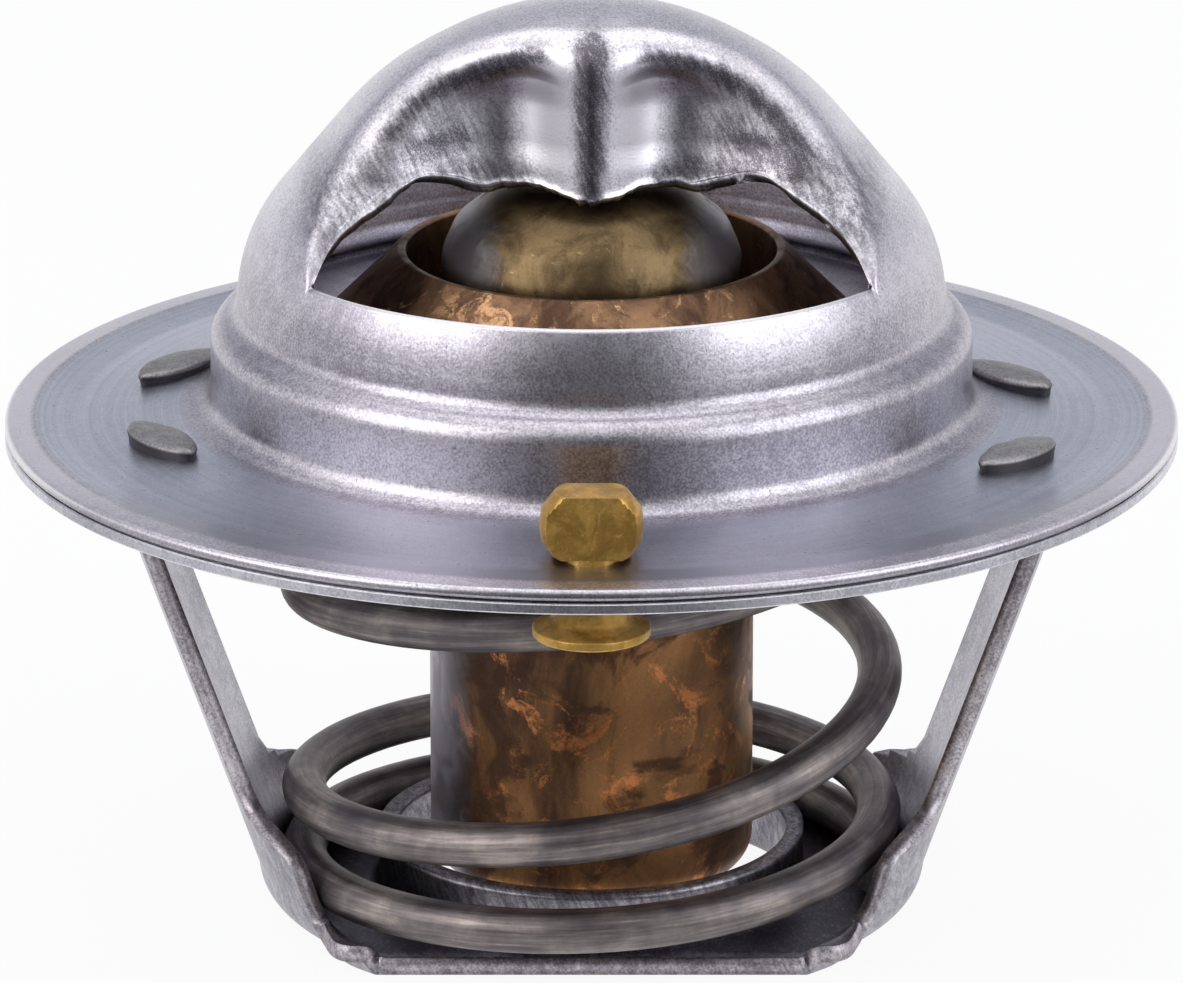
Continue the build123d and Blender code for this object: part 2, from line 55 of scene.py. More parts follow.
WHITE = (1.0, 1.0, 1.0)
LOG = logging.getLogger("thermostat")

Colour = tuple[float, float, float]
Point2 = tuple[float, float]
Point3 = tuple[float, float, float]
Number = np.ndarray | float


class Body(Enum):
    """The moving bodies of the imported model."""

    HOUSING = "housing"
    ELEMENT = "element"
    VENT_PIN = "vent_pin"


def shade(red: int, green: int, blue: int) -> Colour:
    """A screen colour from 0 to 255 as scene linear."""
    parts = [part / 255 for part in (red, green, blue)]
    return tuple(p / 12.92 if p <= 0.04045 else ((p + 0.055) / 1.055) ** 2.4 for p in parts)


# ---------------------------------------------------------------- outlines


def rounded(corners: Sequence[Point3], closed: bool = False, step: float = 9.0) -> np.ndarray:
    """Turns corners with radii into a dense line.

    Args:
        corners: Across, up and bend radius of each corner.
        closed: Whether the last corner runs back to the first.
        step: Largest turn in one piece of an arc, in degrees.

    Returns:
        The line's points, one row each.
    """
    points = np.array([corner[:2] for corner in corners], float)
    line: list[np.ndarray] = []
    count = len(points)
    for index, (_, _, radius) in enumerate(corners):
        here = points[index]
        if radius <= 0 or (not closed and index in (0, count - 1)):
            line.append(here)
            continue
        back = points[index - 1] - here
        ahead = points[(index + 1) % count] - here
        back /= np.linalg.norm(back)
        ahead /= np.linalg.norm(ahead)
        half = math.acos(float(np.clip(back @ ahead, -1, 1))) / 2
        if half > math.pi / 2 - 1e-3:
            line.append(here)
            continue
        bisector = (back + ahead) / np.linalg.norm(back + ahead)
        centre = here + bisector * radius / math.sin(half)
        reach = radius / math.tan(half)
        start, end = here + back * reach - centre, here + ahead * reach - centre
        first = math.atan2(start[1], start[0])
        sweep = (math.atan2(end[1], end[0]) - first + math.pi) % (2 * math.pi) - math.pi
        pieces = max(2, math.ceil(abs(math.degrees(sweep)) / step))
        for piece in range(pieces + 1):
            turn = first + sweep * piece / pieces
            line.append(centre + radius * np.array([math.cos(turn), math.sin(turn)]))
    return np.array(line)


def divided(line: np.ndarray, longest: float) -> np.ndarray:
    """The same line with its long runs cut.

    Args:
        line: Points of the line, in order.
        longest: The longest run that stays whole.

    Returns:
        The line's points with the new ones between them.
    """
    points = [line[0]]
    for start, end in zip(line, line[1:]):
        pieces = max(1, math.ceil(float(np.linalg.norm(end - start)) / longest))
        points += [start + (end - start) * (piece + 1) / pieces for piece in range(pieces)]
    return np.array(points)


def distances(line: np.ndarray) -> np.ndarray:
    """How far along a line each of its points is."""
    return np.concatenate([[0.0], np.cumsum(np.linalg.norm(np.diff(line, axis=0), axis=1))])


def picked(line: np.ndarray, wanted: np.ndarray) -> np.ndarray:
    """Points at given distances along a line of any dimension."""
    along = distances(line)
    return np.stack([np.interp(wanted, along, line[:, axis]) for axis in range(line.shape[1])], 1)


def resampled(line: np.ndarray, count: int) -> np.ndarray:
    """Evenly spaced points along a line of any dimension."""
    return picked(line, np.linspace(0, distances(line)[-1], count))


def ramp(value: np.ndarray | float, low: float, high: float) -> np.ndarray:
    """0 below low, 1 above high and smooth between."""
    t = np.clip((np.asarray(value, float) - low) / (high - low), 0, 1)
    return t * t * (3 - 2 * t)


def hermite(t: np.ndarray | float, start: Number, end: Number, leaving: Number, arriving: Number) -> Number:
    """Cubic from a start to an end value as t goes from 0 to 1, with its slopes there."""
    rise = start * (2 * t**3 - 3 * t**2 + 1) + end * (3 * t**2 - 2 * t**3)
    return rise + leaving * (t**3 - 2 * t**2 + t) + arriving * (t**3 - t**2)


def smooth_interp(wanted: np.ndarray, places: np.ndarray, values: np.ndarray) -> np.ndarray:
    """Cubic interpolation that doesn't overshoot, level where it starts.

    Args:
        wanted: Where the values are wanted.
        places: Where they are given, rising.
        values: The given values.

    Returns:
        One value for each wanted place.
    """
    values = np.asarray(values, float)
    steps = np.diff(places)
    slopes = np.diff(values) / steps
    tangents = np.zeros(len(places))
    for index in range(1, len(places) - 1):
        if slopes[index - 1] * slopes[index] > 0:
            tangents[index] = 2 * slopes[index - 1] * slopes[index] / (slopes[index - 1] + slopes[index])
    tangents[-1] = slopes[-1]
    cell = np.clip(np.searchsorted(places, wanted) - 1, 0, len(steps) - 1)
    step = steps[cell]
    t = np.clip((wanted - places[cell]) / step, 0, 1)
    return hermite(t, values[cell], values[cell + 1], step * tangents[cell], step * tangents[cell + 1])


def cut_back(line: np.ndarray, distance: float, at_end: bool) -> tuple[np.ndarray, np.ndarray]:
    """Shortens a line at one end.

    Args:
        line: The line's points.
        distance: How much to take off, though a twentieth of the line always stays.
        at_end: Whether to shorten the end rather than the start.

    Returns:
        The shorter line and the point where it was cut.
    """
    work = line if at_end else line[::-1]
    along = distances(work)
    place = max(along[-1] - distance, along[-1] / 20)
    cut = picked(work, np.array([place]))[0]
    kept = np.concatenate([work[along < place], [cut]])
    return (kept if at_end else kept[::-1]), cut


def sheet_outline(face: np.ndarray, thickness: float, ease: float = 0.07) -> np.ndarray:
    """The closed section of a sheet whose one face is given, with the metal on the left of travel.

    Args:
        face: Points along the face.
        thickness: The sheet's thickness.
        ease: How far the corners of the cut ends are eased.

    Returns:
        The closed outline.
    """
    ahead = np.gradient(face, axis=0)
    ahead /= np.linalg.norm(ahead, axis=1, keepdims=True)
    left = np.stack([-ahead[:, 1], ahead[:, 0]], 1)
    back = face + left * thickness
    start = [face[0] + left[0] * ease, face[0] + ahead[0] * ease]
    end = [face[-1] - ahead[-1] * ease, face[-1] + left[-1] * ease]
    back_end = [back[-1] - left[-1] * ease, back[-1] - ahead[-1] * ease]
    back_start = [back[0] + ahead[0] * ease, back[0] - left[0] * ease]
    return np.array([*start, *face[1:-1], *end, *back_end, *back[1:-1][::-1], *back_start])


# ------------------------------------------------------------------- meshes


def into_scene(name: str, data: bpy.types.ID) -> bpy.types.Object:
    """A new object at the origin of the scene.

    Args:
        name: Name of the object.
        data: What it shows: a mesh, a curve, a lamp or a camera.

    Returns:
        The object.
    """
    made = bpy.data.objects.new(name, data)
    bpy.context.scene.collection.objects.link(made)
    return made


def ring_at(radius: float, height: float, turns: np.ndarray) -> np.ndarray:
    """Points round the axis at one radius and height."""
    return np.stack([radius * np.cos(turns), radius * np.sin(turns), np.full(len(turns), height)], 1)


def mesh_object(
    name: str, points: np.ndarray, faces: Sequence[Sequence[int]], **marks: np.ndarray
) -> bpy.types.Object:
    """Makes a mesh object from millimetres.

    Args:
        name: Name of the piece.
        points: One row per vertex, heights above the flange's rim.
        faces: Vertex numbers of each face.
        marks: Values per vertex, each kept as a named attribute.

    Returns:
        The new object at the origin.
    """
    placed = (points + np.array([0.0, 0.0, RIM])) * MM
    mesh = bpy.data.meshes.new(name)
    mesh.from_pydata(placed.tolist(), [], [list(map(int, face)) for face in faces])
    for mark, values in marks.items():
        attribute = mesh.attributes.new(mark, "FLOAT", "POINT")
        attribute.data.foreach_set("value", np.asarray(values, np.float32))
    mesh.validate()
    return into_scene(name, mesh)


def grid_faces(
    rows: int, columns: int, wrap: bool = False, flip: bool = False, start: int = 0
) -> list[tuple[int, ...]]:
    """Quads of a grid whose vertices are stored row by row.

    Args:
        rows: How many rows the grid has.
        columns: How many vertices a row has.
        wrap: Whether each row closes on itself.
        flip: Whether the quads face the other way.
        start: Number of the grid's first vertex.

    Returns:
        Vertex numbers of each quad.
    """
    faces = []
    for row in range(rows - 1):
        here, above = start + row * columns, start + (row + 1) * columns
        for column in range(columns if wrap else columns - 1):
            right = (column + 1) % columns
            quad = (here + column, here + right, above + right, above + column)
            faces.append(quad[::-1] if flip else quad)
    return faces


def tidy(piece: bpy.types.Object, weld: float = 0.001, crease: float = 32.0, facing: float = 0.0) -> None:
    """Joins doubled vertices, turns faces outwards and shades smooth up to an angle.

    Args:
        piece: The object.
        weld: Vertices nearer than this, in millimetres, become one.
        crease: Angle in degrees above which an edge stays sharp.
        facing: 1 or -1 turns an open sheet so that its face looks up or down on the whole.
    """
    work = bmesh.new()
    work.from_mesh(piece.data)
    bmesh.ops.remove_doubles(work, verts=work.verts, dist=weld * MM)
    bmesh.ops.dissolve_degenerate(work, edges=work.edges, dist=weld * MM / 4)
    bmesh.ops.recalc_face_normals(work, faces=work.faces)
    if facing * sum(face.normal.z * face.calc_area() for face in work.faces) < 0:
        bmesh.ops.reverse_faces(work, faces=work.faces)
    work.to_mesh(piece.data)
    work.free()
    piece.data.shade_smooth()
    piece.data.set_sharp_from_angle(angle=math.radians(crease))


def lathe(name: str, outline: np.ndarray, segments: int = 256, crease: float = 32.0) -> bpy.types.Object:
    """Turns a closed outline of radius and height round the element's axis.

    Args:
        name: Name of the piece.
        outline: Closed outline, one row per point.
        segments: How many steps go round.
        crease: Angle in degrees above which an edge stays sharp.

    Returns:
        The turned object.
    """
    turns = np.linspace(0, 2 * math.pi, segments, endpoint=False)
    closed = np.concatenate([outline, outline[:1]])
    points = np.concatenate([ring_at(radius, height, turns) for radius, height in closed])
    piece = mesh_object(name, points, grid_faces(len(closed), segments, wrap=True))
    tidy(piece, crease=crease)
    return piece


def wobble(points: np.ndarray, scale: float, seed: int) -> np.ndarray:
    """Smooth repeatable noise from about -1 to 1, for shapes that aren't quite regular.

    Args:
        points: Where the noise is wanted, one row each.
        scale: Waves to a length of about six millimetres.
        seed: Which noise of many.

    Returns:
        One value for each point.
    """
    dice = np.random.default_rng(seed)
    total = np.zeros(len(points))
    for octave in range(4):
        for _ in range(3):
            heading = dice.normal(size=points.shape[1])
            heading *= scale * 2**octave / np.linalg.norm(heading)
            total += np.sin(points @ heading + dice.uniform(0, 2 * math.pi)) / 2**octave
    return total / 4


def thicken(piece: bpy.types.Object, thickness: float, face: "Steel", edge: "Steel") -> None:
    """Gives an open sheet its thickness, away from its outer face, and dresses its cut edges apart.

    Args:
        piece: The sheet.
        thickness: In millimetres.
        face: Finish of both faces.
        edge: Finish of the cut edges.
    """
    piece.data.materials.append(face.material())
    piece.data.materials.append(edge.material())
    solid = piece.modifiers.new("sheet", "SOLIDIFY")
    solid.thickness = thickness * MM
    solid.offset = -1.0
    solid.use_quality_normals = True
    solid.material_offset_rim = 1


def finish_piece(piece: bpy.types.Object, body: Body, slot: str, *nodes: str) -> None:
    """Fixes a piece to its body and reports it.

    Args:
        piece: The piece.
        body: The body that it rides on.
        slot: The record's material slot; not used.
        nodes: The nodes that it stands for.
    """
    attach(piece, body.value)
    if nodes:
        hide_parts(*nodes)
    LOG.info("%s: %d faces on %s", piece.name, len(piece.data.polygons), body.value)


def turned_piece(
    name: str, outline: np.ndarray, finish: "Steel | Tarnished", body: Body, slot: str, node: str
) -> None:
    """Turns, dresses and fixes a round piece.

    Args:
        name: Name of the piece.
        outline: Closed outline, one row per point.
        finish: What it is made of.
        body: The body that it rides on.
        slot: The record's material slot.
        node: The node that it stands for.
    """
    piece = lathe(name, outline)
    piece.data.materials.append(finish.material())
    finish_piece(piece, body, slot, node)


# ------------------------------------------------------------------ shaders


class Signal:
    """A shader socket whose arithmetic adds Math nodes."""

    def __init__(self, graph: "Graph", socket: bpy.types.NodeSocket) -> None:
        """Keeps the graph and the socket."""
        self.graph = graph
        self.socket = socket

    def __add__(self, other: "Signal | float") -> "Signal":
        """Sum."""
        return self.graph.math("ADD", self, other)

    __radd__ = __add__

    def __sub__(self, other: "Signal | float") -> "Signal":
        """Difference."""
        return self.graph.math("SUBTRACT", self, other)

    def __rsub__(self, other: float) -> "Signal":
        """Difference the other way round."""
        return self.graph.math("SUBTRACT", other, self)

    def __mul__(self, other: "Signal | float") -> "Signal":
        """Product."""
        return self.graph.math("MULTIPLY", self, other)

    __rmul__ = __mul__

    def __pow__(self, other: float) -> "Signal":
        """Power."""
        return self.graph.math("POWER", self, other)


Value = Signal | float | Colour


class Graph:
    """Builds the nodes of one material, or of the world."""

    def __init__(self, name: str, world: bpy.types.World | None = None) -> None:
        """Starts with an empty node tree.

        Args:
            name: Name of the material.
            world: The world whose nodes are built, in place of a material's.
        """
        self.material = world or bpy.data.materials.new(name)
        self.material.use_nodes = True
        self.tree = self.material.node_tree
        self.tree.nodes.clear()

    def node(self, kind: str, settings: dict | None = None, inputs: dict | None = None) -> bpy.types.Node:
        """Adds one node.

        Args:
            kind: Blender's type name of the node.
            settings: Properties set before anything is linked.
            inputs: Values or signals by socket name or number.

        Returns:
            The node.
        """
        made = self.tree.nodes.new(kind)
        for key, value in (settings or {}).items():
            setattr(made, key, value)
        for key, value in (inputs or {}).items():
            socket = made.inputs[key]
            if isinstance(value, Signal):
                self.tree.links.new(value.socket, socket)
            elif isinstance(value, tuple) and socket.type == "RGBA":
                socket.default_value = (*value, 1.0)
            else:
                socket.default_value = value
        return made

    def signal(self, made: bpy.types.Node, output: int | str = 0) -> Signal:
        """One output of a node as a signal."""
        return Signal(self, made.outputs[output])

    def math(self, operation: str, first: Signal | float, second: Signal | float = 0.0) -> Signal:
        """A Math node."""
        return self.signal(self.node("ShaderNodeMath", {"operation": operation}, {0: first, 1: second}))

    def place(self) -> Signal:
        """Object coordinates in millimetres.

        Returns:
            The place, in millimetres.
        """
        metres = self.signal(self.node("ShaderNodeTexCoord"), "Object")
        inputs = {0: metres, "Scale": 1 / MM}
        return self.signal(self.node("ShaderNodeVectorMath", {"operation": "SCALE"}, inputs))

    def split(self, vector: Signal) -> tuple[Signal, Signal, Signal]:
        """The three parts of a vector."""
        made = self.node("ShaderNodeSeparateXYZ", None, {0: vector})
        return self.signal(made, 0), self.signal(made, 1), self.signal(made, 2)

    def join(self, x: Signal | float, y: Signal | float, z: Signal | float) -> Signal:
        """A vector from three parts."""
        return self.signal(self.node("ShaderNodeCombineXYZ", None, {0: x, 1: y, 2: z}))

    def noise(
        self, where: Signal, scale: float, detail: float = 3.0, rough: float = 0.5, warp: float = 0.0
    ) -> Signal:
        """Noise from 0 to 1.

        Args:
            where: Where it is read.
            scale: Its cells to a millimetre.
            detail: How many finer layers it has.
            rough: How strong the finer layers are.
            warp: How far it is distorted.

        Returns:
            The noise.
        """
        inputs = {"Vector": where, "Scale": scale, "Detail": detail, "Roughness": rough, "Distortion": warp}
        return self.signal(self.node("ShaderNodeTexNoise", None, inputs), "Fac")

    def band(self, value: Signal, low: float, high: float) -> Signal:
        """0 below low, 1 above high and smooth between."""
        inputs = {0: value, 1: low, 2: high, 3: 0.0, 4: 1.0}
        return self.signal(self.node("ShaderNodeMapRange", {"interpolation_type": "SMOOTHSTEP"}, inputs))

    def mix(self, factor: Signal | float, low: Value, high: Value, blend: str = "MIX") -> Signal:
        """Two colours mixed."""
        settings = {"data_type": "RGBA", "blend_type": blend, "clamp_factor": True}
        return self.signal(self.node("ShaderNodeMix", settings, {0: factor, 6: low, 7: high}), 2)

    def mark(self, name: str) -> Signal:
        """A named attribute of the piece's own mesh."""
        return self.signal(self.node("ShaderNodeAttribute", {"attribute_name": name}), "Fac")

    def close(self, surface: Signal, output: str = "ShaderNodeOutputMaterial") -> bpy.types.Material:
        """Ends the nodes with a surface."""
        self.node(output, None, {0: surface})
        return self.material

    def glow(self, colour: Value) -> Signal:
        """An even light of strength 1."""
        return self.signal(self.node("ShaderNodeEmission", None, {"Color": colour, "Strength": 1.0}))

    def finish(
        self, colour: Value, roughness: Value, metallic: Value, height: Signal, depth: float
    ) -> bpy.types.Material:
        """Closes the material with a principled surface.

        Args:
            colour: Base colour.
            roughness: Roughness.
            metallic: Metallic.
            height: Height of the fine relief, in any unit.
            depth: Relief in millimetres for a height of one.

        Returns:
            The finished material.
        """
        relief = {"Height": height, "Distance": depth * MM, "Strength": 1.0}
        normal = self.signal(self.node("ShaderNodeBump", None, relief))
        inputs = {"Base Color": colour, "Roughness": roughness, "Metallic": metallic, "Normal": normal}
        return self.close(self.signal(self.node("ShaderNodeBsdfPrincipled", None, inputs)))


@dataclass(frozen=True)
class Steel:
    """Pressed stainless sheet: cloudy satin with fine dark pits, turning lines, a few scuffs, and painted
    shade and painted highlights.

    The mesh may carry two attributes: "edge", 1 on a cut edge, and a second one, above 0 where the sheet
    carries painted shade and below 0 where it carries a painted highlight.
    """

    name: str
    light: Colour
    dark: Colour
    roughness: float
    pits: float = 0.5
    turning: float = 0.0
    edge: Colour = shade(150, 148, 155)
    web: bool = False
    pit_tone: Colour = shade(84, 76, 82)
    # colours of the painted shade and of the painted highlight
    painted_shading: Colour = shade(84, 80, 90)
    painted_highlight: Colour = shade(248, 245, 252)

    def material(self) -> bpy.types.Material:
        """Builds the material.

        Returns:
            The finished material.
        """
        g = Graph(self.name)
        place = g.place()
        x, y, z = g.split(place)
        radius = (x * x + y * y) ** 0.5
        cloud = g.noise(place, 0.14, 4.0, 0.6, 0.4)
        blotch = g.noise(place, 1.3, 5.0, 0.65)
        grain = g.noise(place, 8.5, 3.0, 0.7)
        lines = g.noise(g.join(radius * 9.0, z * 5.0, 0.5), 1.0, 4.0, 0.7)
        tone = cloud * 0.26 + blotch * 0.28 + grain * 0.46
        colour = g.mix(g.band(tone, 0.39, 0.59), self.dark, self.light)
        if self.web:
            colour = self.flange_and_dome(g, colour, (y, z, radius), (grain, lines, tone))
        pit = g.band(g.noise(place, 5.5, 2.0, 0.5), 0.64, 0.74) * g.band(blotch, 0.42, 0.6) * self.pits
        colour = g.mix(pit, colour, self.pit_tone)
        colour = g.mix(g.mark("edge"), colour, self.edge)
        # painted shade where the mesh's shading attribute is above 0, broken by streaks and specks, and a
        # painted highlight where it is below 0
        mark = g.mark("gloom")
        streak = g.band(g.noise(g.join(x * 3.4 + z * 1.6, y * 2.0, z * 0.7), 1.0, 5.0, 0.65, 0.3), 0.34, 0.64)
        speck = g.band(g.noise(place, 13.0, 2.0, 0.6), 0.36, 0.64)
        solid = g.band(mark, 0.55, 0.9)
        loose = streak * (0.95 - solid * 0.6) + speck * 0.45 + (solid * 0.3 + 0.3)
        gloom = g.math("MAXIMUM", g.math("MINIMUM", mark * loose, 1.0), 0.0)
        colour = g.mix(g.math("MAXIMUM", mark * -1.0, 0.0), colour, self.painted_highlight)
        colour = g.mix(gloom * 0.92, colour, self.painted_shading)
        rough = tone * 0.2 + (self.roughness - 0.1) + pit * 0.2 + gloom * 0.06
        relief = grain * 0.55 + lines * self.turning - pit * 0.5 - gloom * 0.2
        return g.finish(colour, rough, 1.0, relief, 0.012)

    def flange_and_dome(
        self, g: Graph, colour: Signal, place: tuple[Signal, ...], grains: tuple[Signal, ...]
    ) -> Signal:
        """Tints the bluish ringed flange and paints light on the bridge: a painted highlight over the dome's
        top, painted shade on the lower skirt and across the flange's front, and a painted highlight on the
        flange's outer band.

        Args:
            g: The material's nodes.
            colour: The sheet's colour so far.
            place: Coordinates y and z and the radius.
            grains: The grain, the turning lines and the sheet's tone.

        Returns:
            The tinted colour.
        """
        (y, z, radius), (grain, lines, tone) = place, grains
        height = z - RIM
        sandy = g.band(grain, 0.38, 0.62)
        # painted highlight over the dome's top and painted shade low on the skirt, both broken by the grain
        colour = g.mix(g.band(height, 8.0, 11.5) * (sandy * 0.44 + 0.13), colour, shade(250, 248, 254))
        colour = g.mix((1.0 - g.band(height, 6.6, 8.4)) * (0.38 - sandy * 0.28), colour, shade(112, 108, 117))
        flat = g.band(radius, 18.2, 19.4) * (1.0 - g.band(radius, 25.3, 25.8))
        flat = flat * (1.0 - g.band(height, 0.9, 1.6))
        rings = g.band(lines * 0.5 + tone * 0.5, 0.38, 0.62)
        ringed = g.mix(rings, shade(178, 182, 196), shade(206, 210, 222))
        # painted shade across the flange's front
        front = g.band(y * -1.0, 9.0, 21.0)
        ringed = g.mix(front * 0.75, ringed, shade(128, 128, 140))
        colour = g.mix(flat * 0.85, colour, ringed)
        # painted highlight on the flange's outer band, weaker at the front
        rim = g.band(radius, 25.6, 25.9) * (1.0 - front * 0.8) * 0.7
        return g.mix(rim, colour, shade(244, 240, 246))


@dataclass(frozen=True)
class Tarnished:
    """A copper alloy with heat stains, worn bright patches and dark flecks, and if asked a painted grey
    reflection down its sides.
    """

    name: str
    base: Colour
    dark: Colour
    worn: Colour
    roughness: float
    scale: float
    worn_from: float
    dark_from: float
    drawn: float = 0.35
    fleck: float = 0.6
    reflection_from: float = 0.0
    reflection_above: float = -99.0
    reflection_both_sides: bool = True
    metallic: float = 0.95
    spot: tuple[float, float, float, float] = (0.0, 0.0, 0.0, 0.0)
    scratch: Colour = shade(40, 30, 20)
    grit: Colour = shade(235, 215, 190)
    reflection_grey: Colour = shade(206, 206, 218)

    def material(self) -> bpy.types.Material:
        """Builds the material.

        Returns:
            The finished material.
        """
        g = Graph(self.name)
        place = g.place()
        x, y, z = g.split(place)
        drawn = g.join(x, y, z * self.drawn)
        stain = g.noise(drawn, self.scale, 6.0, 0.62, 0.8)
        patch = g.noise(place, self.scale * 2.2, 7.0, 0.68, 1.2)
        fine = g.noise(place, 8.0, 3.0, 0.6)
        colour = g.mix(g.band(stain, 0.36, 0.66), self.dark, self.base)
        wear = patch + fine * 0.14
        if self.spot[3]:
            near, along, up, size = self.spot
            gap = g.join(x - near, y - along, (z - (RIM + up)) * 1.6)
            far = g.signal(g.node("ShaderNodeVectorMath", {"operation": "LENGTH"}, {0: gap}), "Value")
            wear = wear + (1.0 - g.band(far, size * 0.4, size)) * 0.1
        worn = g.band(wear, self.worn_from, self.worn_from + 0.13)
        colour = g.mix(worn * 0.75, colour, self.worn)
        gloom = g.band(g.noise(place, self.scale * 1.7, 6.0, 0.6, 0.5), self.dark_from, self.dark_from + 0.1)
        colour = g.mix(gloom * self.fleck, colour, self.dark)
        colour = g.mix(0.35, colour, g.mix(fine, self.scratch, self.grit), "OVERLAY")
        # a painted grey reflection beyond a distance from the axis and above a height, on the left side alone
        # or on both sides
        if self.reflection_from:
            side = g.math("ABSOLUTE", x) if self.reflection_both_sides else x * -1.0
            above = g.band(z - RIM, self.reflection_above, self.reflection_above + 1)
            painted_reflection = g.band(side + patch * 1.6, self.reflection_from, self.reflection_from + 2.0) * above * 0.62
            colour = g.mix(painted_reflection, colour, self.reflection_grey)
        rough = self.roughness + stain * 0.18 + gloom * 0.15 - worn * 0.08
        relief = fine * 0.5 + patch * 0.25
        return g.finish(colour, rough, self.metallic, relief, 0.014)


@dataclass(frozen=True)
class DrawnWire:
    """Oiled spring wire with lengthwise draw marks."""

    name: str
    base: Colour
    dark: Colour
    glint: Colour

    def material(self) -> bpy.types.Material:
        """Builds the material.

        Returns:
            The finished material.
        """
        g = Graph(self.name)
        place = g.place()
        around, along = g.mark("around"), g.mark("along")
        streak = g.noise(g.join(around * 22.0, along * 0.12, 0.0), 1.0, 4.0, 0.55)
        fine = g.noise(g.join(around * 60.0, along * 0.5, 3.0), 1.0, 3.0, 0.5)
        blotch = g.noise(place, 0.35, 5.0, 0.6)
        speck = g.noise(place, 6.0, 3.0, 0.6)
        tone = streak * 0.34 + blotch * 0.46 + fine * 0.2
        colour = g.mix(g.band(tone, 0.38, 0.62), self.dark, self.base)
        tone_mark = g.band(tone + speck * 0.1, 0.56, 0.7)
        colour = g.mix(tone_mark * 0.6, colour, self.glint)
        rough = 0.36 + tone * 0.2
        return g.finish(colour, rough, 0.9, streak * 0.5 + speck * 0.5, 0.014)


@dataclass(frozen=True)
class Filler:
    """A quiet finish for a piece shut inside the element."""

    name: str
    base: Colour
    dark: Colour
    roughness: float
    metallic: float

    def material(self) -> bpy.types.Material:
        """Builds the material.

        Returns:
            The finished material.
        """
        g = Graph(self.name)
        place = g.place()
        grain = g.noise(place, 3.0, 4.0, 0.6)
        colour = g.mix(g.band(grain, 0.35, 0.65), self.dark, self.base)
        return g.finish(colour, self.roughness + grain * 0.1, self.metallic, grain, 0.01)


BRIDGE_STEEL = Steel(
    "bridge_steel", shade(212, 208, 218), shade(168, 164, 175), 0.33, 0.6, 0.3, shade(226, 224, 230), web=True
)
SEAT_STEEL = Steel("seat_steel", shade(230, 229, 236), shade(186, 185, 193), 0.34, 0.3, 0.5)
FRAME_STEEL = Steel("frame_steel", shade(204, 201, 210), shade(154, 151, 161), 0.36)
SHEARED_STEEL = Steel("sheared_steel", shade(222, 216, 222), shade(148, 142, 147), 0.46, 0.7)
TORN_STEEL = Steel(
    "torn_steel", shade(210, 208, 214), shade(120, 114, 120), 0.34, 0.6, edge=shade(210, 208, 214)
)
TAB_STEEL = Steel("tab_steel", shade(158, 156, 158), shade(116, 114, 116), 0.46, edge=shade(74, 71, 74))
VALVE_COPPER = Tarnished(
    "valve_copper", shade(156, 124, 98), shade(82, 62, 52), shade(228, 184, 142),
    roughness=0.36, scale=0.3, worn_from=0.64, dark_from=0.5, spot=(-5.6, -8.2, 6.6, 3.2),
)
# the guide and the cup carry a painted grey reflection on their sides
GUIDE_BRASS = Tarnished(
    "guide_brass", shade(138, 120, 90), shade(94, 80, 60), shade(172, 156, 124),
    roughness=0.38, scale=0.5, worn_from=0.66, dark_from=0.56, drawn=0.7, reflection_from=4.6, reflection_above=6.6,
)
CUP_COPPER = Tarnished(
    "cup_copper", shade(168, 126, 86), shade(82, 62, 52), shade(230, 154, 98),
    roughness=0.38, scale=0.17, worn_from=0.6, dark_from=0.5, drawn=0.45, fleck=0.8,
    reflection_from=6.0, reflection_both_sides=False,
)
JIGGLE_BRASS = Tarnished(
    "jiggle_brass", shade(222, 184, 100), shade(176, 140, 68), shade(236, 206, 130),
    roughness=0.28, scale=0.7, worn_from=0.64, dark_from=0.62, drawn=1.0, fleck=0.12, metallic=0.74,
)
SPRING_WIRE = DrawnWire("spring_wire", shade(144, 135, 132), shade(94, 88, 92), shade(180, 170, 162))
FILLERS = {
    "piston_pin": Filler("pin_steel", shade(190, 190, 195), shade(150, 150, 156), 0.25, 1.0),
    "rubber_boot": Filler("boot_rubber", shade(40, 40, 40), shade(28, 28, 28), 0.75, 0.0),
    "chafing_washer": Filler("washer_plastic", shade(222, 218, 206), shade(206, 200, 186), 0.5, 0.0),
    "wax_charge": Filler("wax", shade(150, 96, 62), shade(112, 66, 42), 0.55, 0.0),
}


# --------------------------------------------------------------- the pressing


@dataclass(frozen=True)
class ScuffAndShading:
    """A mark along a path: mostly painted shade, with a few scuffs, and a painted highlight where its
    strength is below 0.
    """

    path: tuple[Point2, ...]
    inner: float
    outer: float
    strength: float

    def shade_at(self, across: np.ndarray, up: np.ndarray) -> np.ndarray:
        """How far the mark changes each place.

        Args:
            across: Places across the part.
            up: Their heights above the rim.

        Returns:
            From 0 to the mark's strength.
        """
        nearest = np.full(across.shape, np.inf)
        for x, z in resampled(np.array(self.path, float), 60):
            nearest = np.minimum(nearest, np.hypot(across - x, up - z))
        return self.strength * (1 - ramp(nearest, self.inner, self.outer))
